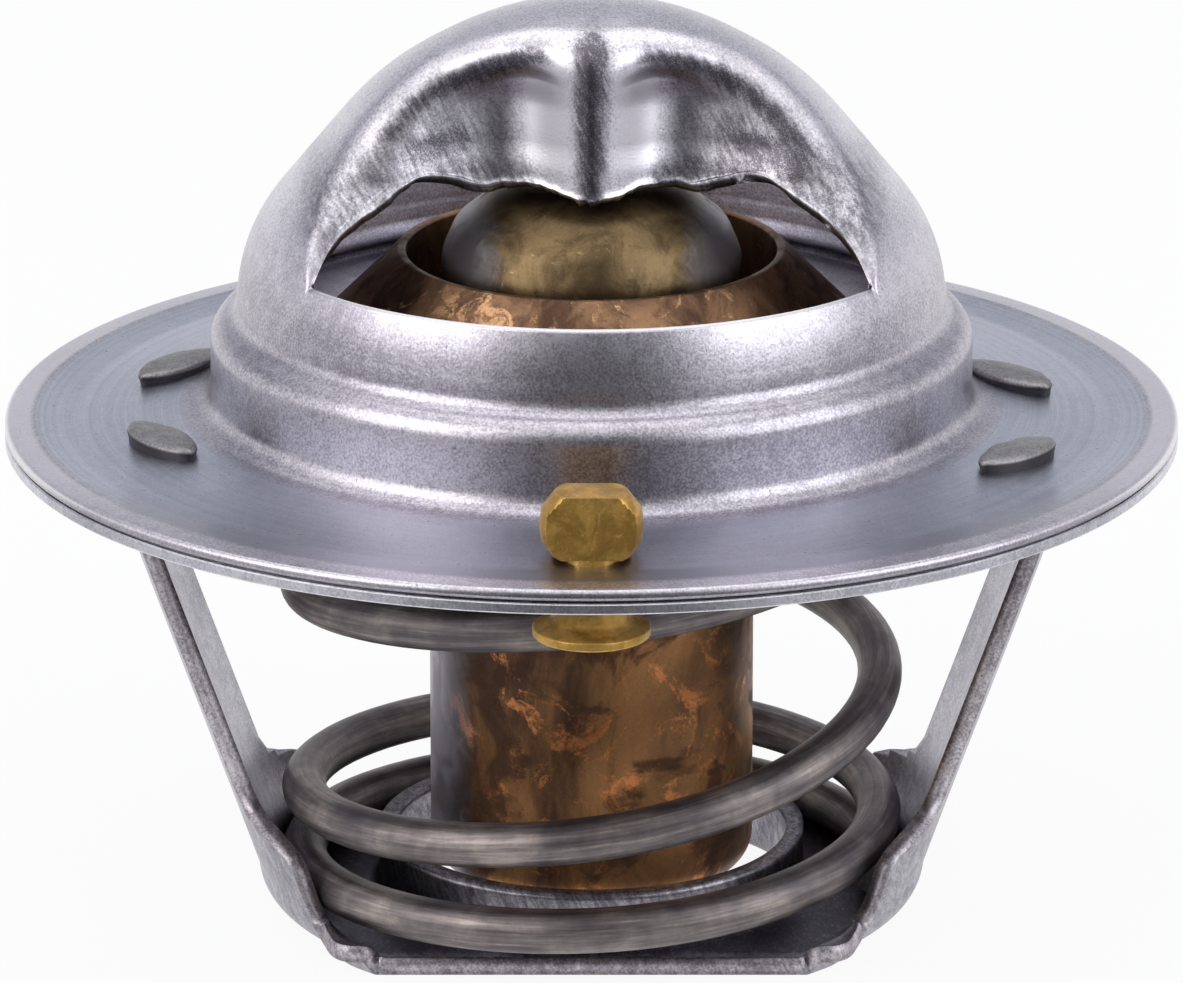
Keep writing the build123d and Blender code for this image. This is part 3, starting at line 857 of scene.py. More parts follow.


# painted shade and highlights on the front and back of the bail, with a few scuffs: across and above the rim,
# then full within, gone beyond, strength
SCUFFS_AND_SHADING = (
    # painted shadow under the brow beside the nose, then painted shade on the aprons and lower sides
    ScuffAndShading(((-2.3, 17.8), (-3.5, 17.45), (-4.6, 17.0), (-5.75, 16.5), (-6.9, 16.05)), 0.0, 0.95, 0.95),
    ScuffAndShading(((-5.75, 16.5), (-6.9, 16.0), (-7.9, 15.5), (-8.6, 14.9), (-9.3, 14.0)), 0.0, 0.95, 0.8),
    ScuffAndShading(((2.5, 17.7), (3.5, 17.5), (4.6, 17.2), (5.8, 16.7), (6.6, 16.2)), 0.0, 0.85, 0.9),
    ScuffAndShading(((5.8, 16.7), (6.6, 16.2), (7.55, 15.5), (8.3, 14.9), (9.1, 14.0), (9.9, 13.4)), 0.0, 1.1, 0.95),
    ScuffAndShading(((-8.3, 13.9), (-9.8, 13.1), (-11.0, 12.2)), 0.3, 1.5, 0.5),
    ScuffAndShading(((8.1, 13.6), (9.4, 12.9), (10.6, 11.9)), 0.3, 1.5, 0.55),
    ScuffAndShading(((-7.2, 12.4), (-4.4, 12.1), (-3.2, 11.9)), 0.2, 1.6, 0.6),
    ScuffAndShading(((3.4, 11.8), (4.6, 12.1), (7.4, 12.4)), 0.2, 1.7, 0.78),
    ScuffAndShading(((-11.4, 11.2), (-8.5, 13.0), (-6.6, 13.7)), 0.9, 2.4, 0.5),
    ScuffAndShading(((11.4, 11.2), (8.5, 13.0), (6.6, 13.7)), 0.9, 2.4, 0.58),
    ScuffAndShading(((-8.0, 13.3), (-7.0, 13.5), (-6.1, 13.7)), 0.2, 1.4, 0.84),
    ScuffAndShading(((7.1, 13.6), (8.1, 13.3), (9.2, 12.8)), 0.2, 1.5, 0.98),
    # scuffs by the torn corners, darkened further with painted shade
    ScuffAndShading(((-9.0, 11.9), (-10.6, 10.9), (-12.0, 9.4)), 0.2, 1.0, 0.5),
    ScuffAndShading(((9.0, 11.9), (10.6, 10.9), (12.0, 9.4)), 0.2, 1.0, 0.5),
    # painted highlights on the flanks
    ScuffAndShading(((-2.1, 16.4), (-2.1, 15.0), (-2.0, 13.2)), 0.3, 1.6, -1.0),
    ScuffAndShading(((2.1, 16.4), (2.1, 15.0), (2.0, 13.2)), 0.3, 1.6, -0.9),
    # painted shade down the ridge
    ScuffAndShading(((0.0, 18.1), (0.0, 15.0)), 0.3, 1.15, 1.0),
    ScuffAndShading(((0.0, 15.0), (0.0, 12.7)), 0.25, 1.0, 1.0),
    ScuffAndShading(((0.0, 12.7), (0.0, 10.6)), 0.1, 0.85, 1.0),
)


@dataclass
class Bridge:
    """The flange, its raised bead and the dome with two windows lanced and pressed in."""

    flange_radius: float = 26.97
    sheet: float = 0.55
    wall_radius: float = 16.25
    bead_radius: float = 17.5
    dome_height: float = 19.2
    shoulder_radius: float = 8.0
    flank_angle: float = 50.5
    crown_radius: float = 15.0
    sill: float = 8.4
    nose: float = 1.9
    columns: int = 224
    wall_rows: int = 36
    sill_steps: int = 84
    torn_edge: tuple[Point2, ...] = (
        (12.5, 0.0), (11.3, 1.95), (9.3, 3.2), (7.7, 3.9), (4.5, 3.2), (0.0, 2.8),
    )
    # height above the sill, then distance from the middle plane at the ridge, hollow, flank and corner
    pressing: tuple[tuple[float, ...], ...] = (
        (0.0, 5.0, 3.9, 7.0, 9.1),
        (2.0, 4.95, 3.5, 6.2, 7.4),
        (3.8, 4.9, 3.1, 5.0, 5.7),
        (5.2, 4.85, 2.85, 4.5, 5.4),
        (7.0, 4.9, 2.7, 4.2, 5.4),
        (8.6, 5.0, 3.1, 4.3, 5.2),
        (9.8, 5.1, 4.3, 4.7, 5.1),
        (11.2, 5.2, 4.8, 4.8, 5.0),
    )
    # distances from the middle of the bail, and how far from the first named depth to the second one is there
    knots: tuple[tuple[float, int, int, float], ...] = (
        (0.0, 1, 2, 0.0),
        (0.8, 1, 2, 0.13),
        (3.0, 1, 2, 0.88),
        (4.1, 2, 3, 0.0),
        (6.8, 2, 3, 0.42),
        (9.0, 3, 4, 0.0),
        (13.0, 4, 4, 0.0),
    )
    # beside the torn edge, row by row: how bare, how ragged and how far turned out the sheet is
    torn_rows: tuple[Point3, ...] = (
        (1.0, 1.0, 0.1),
        (0.8, 0.95, 0.055),
        (0.45, 0.8, 0.02),
        (0.15, 0.6, 0.005),
        (0.0, 0.3, 0.0),
    )

    def __post_init__(self) -> None:
        """Samples the dome's outline, height against radius."""
        turn = math.radians(90 - self.flank_angle)
        slope = math.radians(self.flank_angle)
        run = self.wall_radius - self.shoulder_radius * (1 - math.cos(turn))
        run -= self.crown_radius * math.sin(slope)
        rise = run * math.tan(slope)
        crown_drop = self.crown_radius * (1 - math.cos(slope))
        foot = self.dome_height - self.shoulder_radius * math.sin(turn) - rise - crown_drop
        self.shoulder_foot = foot
        shoulder = [
            (
                self.wall_radius - self.shoulder_radius * (1 - math.cos(a)),
                foot + self.shoulder_radius * math.sin(a),
            )
            for a in np.linspace(0, turn, 24)
        ]
        crown = [
            (self.crown_radius * math.sin(a), self.dome_height - self.crown_radius * (1 - math.cos(a)))
            for a in np.linspace(slope, 0, 90)
        ]
        self.outline = np.array([(self.wall_radius, -5.0), *shoulder, *crown])

    def dome_radius(self, height: np.ndarray) -> np.ndarray:
        """Radius of the dome's skin at a height, negative above its top."""
        radius = np.interp(height, self.outline[:, 1], self.outline[:, 0])
        return np.where(height > self.dome_height, self.dome_height - height, radius)

    def pressed(self, across: np.ndarray, up: np.ndarray) -> np.ndarray:
        """How deep the pressed-in sheet lies.

        Args:
            across: Places across the part, seen from the front.
            up: Their heights above the sill.

        Returns:
            Distances from the middle plane.
        """
        levels = np.array(self.pressing)
        places = np.array([knot[0] for knot in self.knots])
        table = [
            [row[a] + share * (row[b] - row[a]) for _, a, b, share in self.knots] for row in self.pressing
        ]
        by_level = np.stack([smooth_interp(np.abs(across), places, row) for row in table])
        place = np.clip(np.interp(up, levels[:, 0], np.arange(len(levels))), 0, len(levels) - 1.0001)
        low = place.astype(int)
        share = (ramp(place - low, 0.0, 1.0) + place - low) / 2
        index = np.arange(len(across))
        return by_level[low, index] * (1 - share) + by_level[low + 1, index] * share

    def column(self, turn: float, front: bool) -> np.ndarray:
        """One line across half of the bail, from the torn edge to the middle of its crown.

        Args:
            turn: Tilt of the cutting plane from upright, in radians.
            front: Whether this is the front half.

        Returns:
            Points from the torn edge over the rounded border to the middle plane.
        """
        samples, highest = 60, 22.0
        tear = np.array([(math.atan2(x, h), math.hypot(x, h)) for x, h in self.torn_edge])[::-1]
        torn = float(smooth_interp(np.array([abs(turn)]), tear[:, 0], tear[:, 1])[0])
        reach = np.linspace(torn * 0.7, 18.0, 500)
        across, up = reach * math.sin(turn), reach * math.cos(turn)
        depth = self.pressed(across, up)
        inside = np.hypot(across, depth) < self.dome_radius(up + self.sill)
        border = reach[np.nonzero(inside)[0][-1]]
        torn = min(torn, border - 0.12)
        along = np.linspace(torn, border, samples)
        wall = np.stack([self.pressed(along * math.sin(turn), along * math.cos(turn)), along], 1)
        depths = np.linspace(wall[-1, 0], 0, samples)
        low, high = np.zeros(samples), np.full(samples, highest)
        for _ in range(40):
            middle = (low + high) / 2
            away = np.hypot(middle * math.sin(turn), depths)
            beyond = away > self.dome_radius(middle * math.cos(turn) + self.sill)
            low, high = np.where(beyond, low, middle), np.where(beyond, middle, high)
        top = np.stack([depths, low], 1)
        setback = min(self.nose, 0.6 * distances(wall)[-1])
        wall_part, wall_end = cut_back(wall, setback, at_end=True)
        top_part, top_end = cut_back(top, setback, at_end=False)
        t = np.linspace(0, 1, 11)[1:-1, None]
        bend = (1 - t) ** 2 * wall_end + 2 * t * (1 - t) * wall[-1] + t**2 * top_end
        line = np.concatenate([self.from_tear(wall_part), bend, resampled(top_part, 16)])
        side = -1.0 if front else 1.0
        across, up = line[:, 1] * math.sin(turn), self.sill + line[:, 1] * math.cos(turn)
        return np.stack([across, side * line[:, 0], up], 1)

    def from_tear(self, wall: np.ndarray) -> np.ndarray:
        """The pressed sheet's points in one column, close together beside the torn edge.

        Args:
            wall: The column's line from the torn edge up.

        Returns:
            The points on that line.
        """
        length = distances(wall)[-1]
        close = np.array([0.0, 0.09, 0.18, 0.28, 0.42]) * min(1.0, length)
        return picked(wall, np.concatenate([close, np.linspace(close[-1], length, self.wall_rows - 4)[1:]]))

    def bail(self) -> tuple[np.ndarray, np.ndarray, np.ndarray, int]:
        """The pressed band as a grid.

        Returns:
            Its points, how near each is to a torn edge, its painted shade (above 0) and painted highlight
            (below 0) and the points in a column.
        """
        turns = np.linspace(-math.pi / 2, math.pi / 2, self.columns)
        halves = [(self.column(turn, True), self.column(turn, False)) for turn in turns]
        grid = np.array([np.concatenate([front, back[:-1][::-1]]) for front, back in halves])
        across, up = grid[:, :, 0], grid[:, :, 2]
        row = np.arange(grid.shape[1])
        inward = 1 - ramp(np.minimum(row, row[::-1]), self.wall_rows + 1, self.wall_rows + 8)
        # painted shade and highlights from the marks above, and painted shade on the pressed faces away from
        # the ridge
        painted_shading = [tone_mark.shade_at(across, up) for tone_mark in SCUFFS_AND_SHADING]
        painted_shading.append(0.36 * inward * ramp(np.abs(across), 2.6, 4.2))
        gloom = np.max(painted_shading, axis=0)
        gloom += np.min(painted_shading, axis=0) * (1 - np.minimum(gloom, 1.0))
        ends = ramp(up, self.sill + 0.6, self.sill + 2.6)
        beside = np.zeros((3, *across.shape))
        for row, shares in enumerate(self.torn_rows):
            beside[:, :, row] = beside[:, :, -1 - row] = np.array(shares)[:, None]
        near, fade, flare = beside
        ragged = wobble(grid.reshape(-1, 3), 2.4, 11).reshape(near.shape)
        torn = wobble(grid.reshape(-1, 3), 5.0, 12).reshape(near.shape)
        grid[:, :, 2] += (ragged * 0.13 + torn * 0.06) * fade * ends
        grid[:, :, 1] += np.sign(grid[:, :, 1]) * flare * ends * (1 + 0.5 * torn)
        return grid.reshape(-1, 3), (near * ends).reshape(-1), gloom.reshape(-1), grid.shape[1]

    def profile(self) -> np.ndarray:
        """The skirt's outer face from the rim in to the foot of the shoulder.

        Returns:
            Points as radius and height.
        """
        corners = (
            (self.flange_radius, -0.46, 0.0),
            (self.flange_radius, -0.02, 0.25),
            (25.7, 0.0, 2.0),
            (24.3, -0.13, 1.2),
            (23.7, -0.15, 1.2),
            (self.bead_radius, 0.45, 1.0),
            (self.bead_radius, 4.25, 1.15),
            (self.wall_radius, 4.75, 0.8),
            (self.wall_radius, self.shoulder_foot + 0.6, 0.0),
        )
        return divided(rounded(corners, step=7.0), 0.8)

    def build(self) -> None:
        """Makes the whole pressing."""
        band, near, gloom, tall = self.bail()
        left_foot, right_foot = band[:tall], band[-tall:]
        on_wall = slice(self.wall_rows - 1, tall - self.wall_rows + 1)
        full_turn = 2 * math.pi
        left = np.arctan2(left_foot[on_wall, 1], left_foot[on_wall, 0]) % full_turn
        right = np.arctan2(right_foot[on_wall, 1], right_foot[on_wall, 0])
        front = np.linspace(left[0], right[0] % full_turn, self.sill_steps + 2)[1:-1]
        back = np.linspace(right[-1], left[-1], self.sill_steps + 2)[1:-1]
        turns = np.concatenate([left[::-1], front, right % full_turn, back + full_turn])
        profile = self.profile()
        climb = np.linspace(profile[-1, 1], self.sill, 14)[1:]
        lower = np.concatenate([profile, np.stack([self.dome_radius(climb), climb], 1)])
        skirt = np.concatenate([ring_at(radius, height, turns) for radius, height in lower])
        ring, front_sill = len(turns), len(left)
        right_side = front_sill + len(front)
        back_sill = right_side + len(right)
        top = skirt[-ring:]
        top[:front_sill] = left_foot[on_wall][::-1]
        top[right_side:back_sill] = right_foot[on_wall]
        edge = np.zeros(len(skirt))
        sill_edge = edge[-ring:]
        sill_edge[front_sill + 1 : right_side - 1] = 0.9
        sill_edge[back_sill + 1 : -1] = 0.9
        points = np.concatenate([skirt, band])
        faces = grid_faces(len(lower), ring, wrap=True) + grid_faces(self.columns, tall, start=len(skirt))
        # the bail's painted shade and highlights go on as a mesh attribute
        marks = {"edge": np.concatenate([edge, near]), "gloom": np.concatenate([np.zeros(len(skirt)), gloom])}
        piece = mesh_object("bridge_pressing", points, faces, **marks)
        tidy(piece, weld=0.004, crease=180.0, facing=1.0)
        thicken(piece, self.sheet, BRIDGE_STEEL, TORN_STEEL)
        finish_piece(piece, Body.HOUSING, "bridge_steel", "bridge")


@dataclass
class SeatRing:
    """The second sheet, nested under the flange, whose hole is the valve's seat."""

    sheet: float = 0.5
    nest: float = 0.57
    flange_radius: float = 26.96
    bead_radius: float = 17.5
    floor: float = 3.65
    hole: float = 12.95
    crease_radius: float = 24.0

    def build(self) -> None:
        """Makes the ring."""
        corners = (
            (self.flange_radius, -0.04 - self.nest, 0.0),
            (self.crease_radius, -0.15 - self.nest, 1.2),
            (self.bead_radius - self.nest, 0.45 - self.nest, 1.8),
            (self.bead_radius - self.nest, self.floor, 0.5),
            (self.hole, self.floor, 0.0),
        )
        face = divided(rounded(corners, step=8.0), 1.0)
        outline = sheet_outline(face, self.sheet)
        turned_piece("seat_pressing", outline, SEAT_STEEL, Body.HOUSING, "seat_steel", "seat_ring")


# ---------------------------------------------------------------- the element


@dataclass
class Element:
    """The valve cone, the guide and the cup of the wax element."""

    cup_radius: float = 7.5
    cup_bottom: float = -22.0
    guide_radius: float = 6.88
    guide_top: float = 10.8
    rim_top: float = 7.7
    rim_bore: float = 8.5
    flange_radius: float = 15.6
    flange_top: float = 2.6
    sheet: float = 0.8
    waist: float = 2.3
    grip_top: float = 1.5
    grip_foot: float = -1.6
    guide_bore: float = 2.05
    guide_foot: float = -2.4
    cup_wall: float = 0.6
    lip: float = 3.4

    def valve(self) -> None:
        """Makes the valve cone."""
        rim_outer = self.rim_bore + 0.35
        foot = rim_outer + self.rim_top - self.flange_top
        under = self.sheet * math.sqrt(2)
        inner = self.rim_bore + self.sheet
        grip = self.cup_radius + self.sheet
        corners = (
            (self.flange_radius, self.flange_top - self.sheet, 0.1),
            (self.flange_radius, self.flange_top, 0.1),
            (foot, self.flange_top, 0.6),
            (rim_outer, self.rim_top, 0.22),
            (self.rim_bore, self.rim_top, 0.14),
            (self.rim_bore, self.waist, 0.5),
            (self.cup_radius, self.grip_top, 0.3),
            (self.cup_radius, self.grip_foot, 0.05),
            (grip, self.grip_foot, 0.1),
            (grip, self.grip_top, 0.3),
            (inner, self.waist, 0.4),
            (inner, rim_outer + self.rim_top - under - inner, 0.1),
            (foot + self.sheet - under, self.flange_top - self.sheet, 0.2),
        )
        outline = divided(rounded(corners, closed=True), 1.2)
        slot = "valve_copper_alloy"
        turned_piece("valve_pressing", outline, VALVE_COPPER, Body.ELEMENT, slot, "valve_cone")

    def guide(self) -> None:
        """Makes the guide with its domed shoulder."""
        bore = self.guide_bore
        corners = (
            (bore, self.guide_foot, 0.0),
            (self.guide_radius, self.guide_foot, 0.1),
            (self.guide_radius, 2.5, 0.05),
            (6.53, self.lip, 0.05),
            (self.guide_radius, 3.75, 0.1),
            (self.guide_radius, 7.5, 1.6),
            (6.25, 9.0, 1.5),
            (4.7, 10.2, 2.0),
            (3.3, self.guide_top - 0.08, 2.0),
            (bore + 0.5, self.guide_top, 0.1),
            (bore, self.guide_top - 0.5, 0.0),
        )
        outline = divided(rounded(corners, closed=True), 1.0)
        turned_piece("guide_body", outline, GUIDE_BRASS, Body.ELEMENT, "guide_brass", "element_guide")

    def cup(self) -> None:
        """Makes the drawn cup with its crimped lip."""
        bore, floor = self.cup_radius - self.cup_wall, self.cup_bottom + self.cup_wall
        corners = (
            (0.0, self.cup_bottom, 0.0),
            (self.cup_radius, self.cup_bottom, 1.5),
            (self.cup_radius, 2.5, 0.3),
            (7.15, self.lip, 0.12),
            (6.55, self.lip, 0.08),
            (bore, 2.5, 0.2),
            (bore, floor, 0.9),
            (0.0, floor, 0.0),
        )
        outline = divided(rounded(corners, closed=True), 1.0)
        turned_piece("cup_body", outline, CUP_COPPER, Body.ELEMENT, "cup_copper_alloy", "wax_cup")

    def build(self) -> None:
        """Makes the three visible pieces and dresses the ones shut inside."""
        self.valve()
        self.guide()
        self.cup()
        for node, finish in FILLERS.items():
            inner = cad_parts[node]
            inner.data.materials.clear()
            inner.data.materials.append(finish.material())


# ---------------------------------------------------------------- the spring


@dataclass
class Spring:
    """The main spring, whose pitch changes along it as the real one's does."""

    wire: float = 1.03
    coil: float = 13.4
    # how far the wire has wound down, in degrees from the right, and the height of its centre
    stations: tuple[Point2, ...] = (
        (-440.0, 0.75), (-169.0, 0.75), (-80.0, -1.6), (0.0, -3.7), (110.0, -6.6), (230.0, -9.6),
        (360.0, -12.6), (450.0, -16.3), (540.0, -18.3), (630.0, -19.0), (720.0, -19.5), (810.0, -20.7),
        (900.0, -21.5), (990.0, -22.0), (1090.0, -22.0),
    )
    step: float = 4.0
    sides: int = 28
    foot: float = -23.05
    lift: float = 8.0

    def height(self, angle: float) -> float:
        """Height of the wire's centre where it has wound down by an angle.

        Args:
            angle: How far it has wound down, in degrees.

        Returns:
            The height, from the flange's face.
        """
        places, values = np.array(self.stations).T
        slopes = np.gradient(values, places)
        slopes[[0, 1, -2, -1]] = 0.0
        cell = int(np.clip(np.searchsorted(places, angle) - 1, 0, len(places) - 2))
        span = places[cell + 1] - places[cell]
        t = (angle - places[cell]) / span
        return float(hermite(t, values[cell], values[cell + 1], span * slopes[cell], span * slopes[cell + 1]))

    def centre_line(self) -> bpy.types.Object:
        """The wire's centre line as a curve.

        Returns:
            The curve's object.
        """
        first, last = self.stations[0][0], self.stations[-1][0]
        angles = np.linspace(first, last, round((last - first) / self.step) + 1)
        curve = bpy.data.curves.new("spring_line", "CURVE")
        curve.dimensions = "3D"
        spline = curve.splines.new("POLY")
        spline.points.add(len(angles) - 1)
        for point, angle in zip(spline.points, angles):
            turn = math.radians(angle)
            place = (self.coil * math.cos(turn), -self.coil * math.sin(turn), RIM + self.height(float(angle)))
            point.co = (*[part * MM for part in place], 1.0)
        return into_scene("spring_line", curve)

    def tree(self, material: bpy.types.Material) -> bpy.types.GeometryNodeTree:
        """Geometry nodes that sweep the wire's section along its centre line.

        Args:
            material: What the wire is dressed in.

        Returns:
            The node tree, with the wire's radius and its sides as inputs.
        """
        tree = bpy.data.node_groups.new("wire_sweep", "GeometryNodeTree")
        for name, way, kind in (
            ("Line", "INPUT", "Geometry"),
            ("Wire radius", "INPUT", "Float"),
            ("Sides", "INPUT", "Int"),
            ("Wire", "OUTPUT", "Geometry"),
        ):
            tree.interface.new_socket(name, in_out=way, socket_type=f"NodeSocket{kind}")
        made: dict[str, bpy.types.Node] = {}
        for name, kind in (
            ("in", "NodeGroupInput"),
            ("length", "GeometryNodeSplineParameter"),
            ("keep_length", "GeometryNodeStoreNamedAttribute"),
            ("section", "GeometryNodeCurvePrimitiveCircle"),
            ("turn", "GeometryNodeSplineParameter"),
            ("keep_turn", "GeometryNodeStoreNamedAttribute"),
            ("sweep", "GeometryNodeCurveToMesh"),
            ("smooth", "GeometryNodeSetShadeSmooth"),
            ("realize", "GeometryNodeRealizeInstances"),
            ("dress", "GeometryNodeSetMaterial"),
            ("out", "NodeGroupOutput"),
        ):
            made[name] = tree.nodes.new(kind)
        for keep, name in (("keep_length", "along"), ("keep_turn", "around")):
            made[keep].data_type = "FLOAT"
            made[keep].domain = "POINT"
            made[keep].inputs["Name"].default_value = name
        made["sweep"].inputs["Fill Caps"].default_value = True
        made["dress"].inputs["Material"].default_value = material
        for source, output, target, socket in (
            ("in", "Line", "keep_length", "Geometry"),
            ("length", "Length", "keep_length", "Value"),
            ("keep_length", "Geometry", "sweep", "Curve"),
            ("in", "Wire radius", "section", "Radius"),
            ("in", "Sides", "section", "Resolution"),
            ("section", "Curve", "keep_turn", "Geometry"),
            ("turn", "Factor", "keep_turn", "Value"),
            ("keep_turn", "Geometry", "sweep", "Profile Curve"),
            ("sweep", "Mesh", "smooth", "Geometry"),
            ("smooth", "Geometry", "realize", "Geometry"),
            ("realize", "Geometry", "dress", "Geometry"),
            ("dress", "Geometry", "out", "Wire"),
        ):
            tree.links.new(made[source].outputs[output], made[target].inputs[socket])
        return tree

    def build(self) -> None:
        """Makes the spring."""
        line = self.centre_line()
        tree = self.tree(SPRING_WIRE.material())
        sweep = line.modifiers.new("sweep", "NODES")
        sweep.node_group = tree
        items = tree.interface.items_tree
        identifiers = {item.name: item.identifier for item in items if item.in_out == "INPUT"}
        sweep[identifiers["Wire radius"]] = self.wire * MM
        sweep[identifiers["Sides"]] = self.sides
        bpy.context.view_layer.update()
        evaluated = line.evaluated_get(bpy.context.evaluated_depsgraph_get())
        piece = into_scene("spring_coil", bpy.data.meshes.new_from_object(evaluated))
        piece.data.name = "spring_coil"
        bpy.data.objects.remove(line)
        piece.data.set_sharp_from_angle(angle=math.radians(50))
        along = piece.data.attributes["along"]
        lengths = np.zeros(len(along.data), np.float32)
        along.data.foreach_get("value", lengths)
        along.data.foreach_set("value", lengths / MM)
        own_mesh(piece)
        finish_piece(piece, Body.HOUSING, "spring_steel", "main_spring")


# ------------------------------------------------------------- the lower frame


@dataclass
class LowerFrame:
    """The drawn base with its collar, and the two legs that rise to their heads."""

    sheet: float = 0.8
    half_width: float = 10.75
    base: float = -23.85
    collar_radius: float = 9.9
    collar_top: float = -20.3
    recess: float = 14.75
    ledge_rise: float = 0.6
    ledge_radius: float = 15.6
    ledge_length: float = 12.05
    leg_foot: float = 14.75
    slant: float = 0.359
    head_face: float = 22.2
    foot_arc: float = 15.5
    leg_arc: float = 12.7
    foot_bend: float = 2.2
    leg_half: float = 3.9
    head_half: float = 9.0
    head_top: float = -1.2
    plan_arc: float = 14.8  # the wall turns round the axis at this radius, seen from below
    floor_start: float = 11.2  # outside this the floor belongs to the radial lines
    rows: int = 10
    blend: float = 6.5  # degrees over which the upright wall becomes the flat corner
    # the corner's directions, in degrees, that are smoothed: from, fully, until and not beyond
    eased: tuple[float, float, float, float] = (30.0, 32.5, 43.0, 44.5)
    ease_share: float = 0.8
    ease_passes: int = 14
    # height on the leg, and how far it has widened into the head there
    spread: tuple[Point2, ...] = ((-5.8, 0.0), (-5.0, 0.08), (-4.2, 0.45), (-3.6, 1.0))
    # distance along from the leg's middle, and the height of the wing's edge there
    wing: tuple[Point2, ...] = (
        (0.0, -17.0), (3.9, -17.6), (4.3, -18.3), (5.3, -18.65), (6.4, -18.95), (7.4, -19.4), (7.9, -19.9),
        (8.1, -20.6), (8.2, -22.3),
    )
    # directions in a quarter, in degrees: from, to and how many
    spans: tuple[tuple[float, float, int], ...] = ((30.0, 50.0, 48), (50.0, 90.0, 34))

    def leg_front(self, height: np.ndarray) -> np.ndarray:
        """Distance of a leg's outer face from the axis, eased at the head's bend.

        Args:
            height: Height or heights on the leg.

        Returns:
            The distance on the leg's middle plane.
        """
        sloped = self.leg_foot + self.slant * (height - self.base)
        gap = self.head_face - sloped
        return self.head_face - (gap + np.sqrt(gap * gap + 0.25)) / 2

    def arc(self, height: np.ndarray) -> np.ndarray:
        """Radius of a leg's rounded section at a height."""
        share = np.clip((height + 23.0) / 4.5, 0, 1)
        return self.foot_arc + (self.leg_arc - self.foot_arc) * share

    def leg_point(self, width: float, height: float) -> tuple[float, float, float]:
        """A point of a leg's outer face."""
        front, arc = float(self.leg_front(np.array(height))), float(self.arc(np.array(height)))
        return front - arc + math.sqrt(max(arc * arc - width * width, 0.0)), width, height

    def plate_line(self, turn: float) -> np.ndarray:
        """Underside of the floor from its bend at the collar out to the cut edge, in one direction.

        Args:
            turn: Direction from +X, in radians, in the first quarter.

        Returns:
            Points as radius and height.
        """
        along, across = max(math.sin(turn), 1e-6), max(math.cos(turn), 1e-6)
        reach = min(self.half_width / along, self.ledge_length / across, self.ledge_radius)
        upper = self.base + self.ledge_rise
        corners = (
            (self.floor_start - 1, self.base, 0.0),
            (self.recess - 0.1, self.base, 0.16),
            (self.recess + 0.2, upper, 0.16),
            (self.ledge_radius + 1, upper, 0.0),
        )
        line = rounded(corners)
        inner, outer = self.recess - 0.3, self.recess + 0.4
        step = np.linspace(inner, outer, 17)[1:]
        ledge = np.linspace(outer, max(reach, outer), 18)[1:]
        floor = np.linspace(self.floor_start, inner, self.rows)
        radii = np.minimum(np.concatenate([floor, step, ledge]), reach)
        return np.stack([radii, np.interp(radii, line[:, 0], line[:, 1])], 1)

    def wall_line(self, turn: float) -> np.ndarray:
        """Outer face of the floor, its rounded foot and the wall, up to the wing's edge.

        Args:
            turn: Direction from +X, in radians, in the first quarter.

        Returns:
            Points as place across, place along and height.
        """
        width = self.plan_arc * math.sin(turn)
        top = float(np.interp(width, *np.array(self.wing).T))
        bend_top = self.base + self.foot_bend
        x, y, _ = self.leg_point(width, bend_top)
        inner = math.hypot(x, y) - self.foot_bend
        floor = np.linspace(self.floor_start, inner, self.rows)
        line = [(radius * math.cos(turn), radius * math.sin(turn), self.base) for radius in floor]
        start, side = inner * math.cos(turn), inner * math.sin(turn)
        for share in np.linspace(0, 1, 20)[1:]:
            angle = math.pi / 2 * share
            height = self.base + self.foot_bend * (1 - math.cos(angle))
            line.append((start + (x - start) * math.sin(angle), side * (1 - share) + width * share, height))
        above = max(edge[1] for edge in self.wing) + 1.5
        line += [self.leg_point(width, float(height)) for height in np.linspace(bend_top, above, 15)[1:]]
        whole = np.array(line)
        rising = whole[self.rows - 1 :]
        end = np.array([np.interp(top, rising[:, 2], rising[:, axis]) for axis in range(3)])
        whole[whole[:, 2] > top] = end
        return whole

    def side(self, turn: float) -> np.ndarray:
        """One radial line of the base, blended between the flat corner and the upright wall.

        Args:
            turn: Direction from +X, in radians.

        Returns:
            Points as place across, place along and height.
        """
        quarter = abs((turn + math.pi / 2) % math.pi - math.pi / 2)
        plate = self.plate_line(quarter)
        flat = np.stack([plate[:, 0] * math.cos(quarter), plate[:, 0] * math.sin(quarter), plate[:, 1]], 1)
        last = math.asin(self.wing[-1][0] / self.plan_arc)
        share = float(ramp(math.degrees(quarter - last), 0.0, self.blend))
        if share < 1:
            flat = flat * share + self.wall_line(min(quarter, last)) * (1 - share)
        return flat * np.array([math.copysign(1.0, math.cos(turn)), math.copysign(1.0, math.sin(turn)), 1.0])

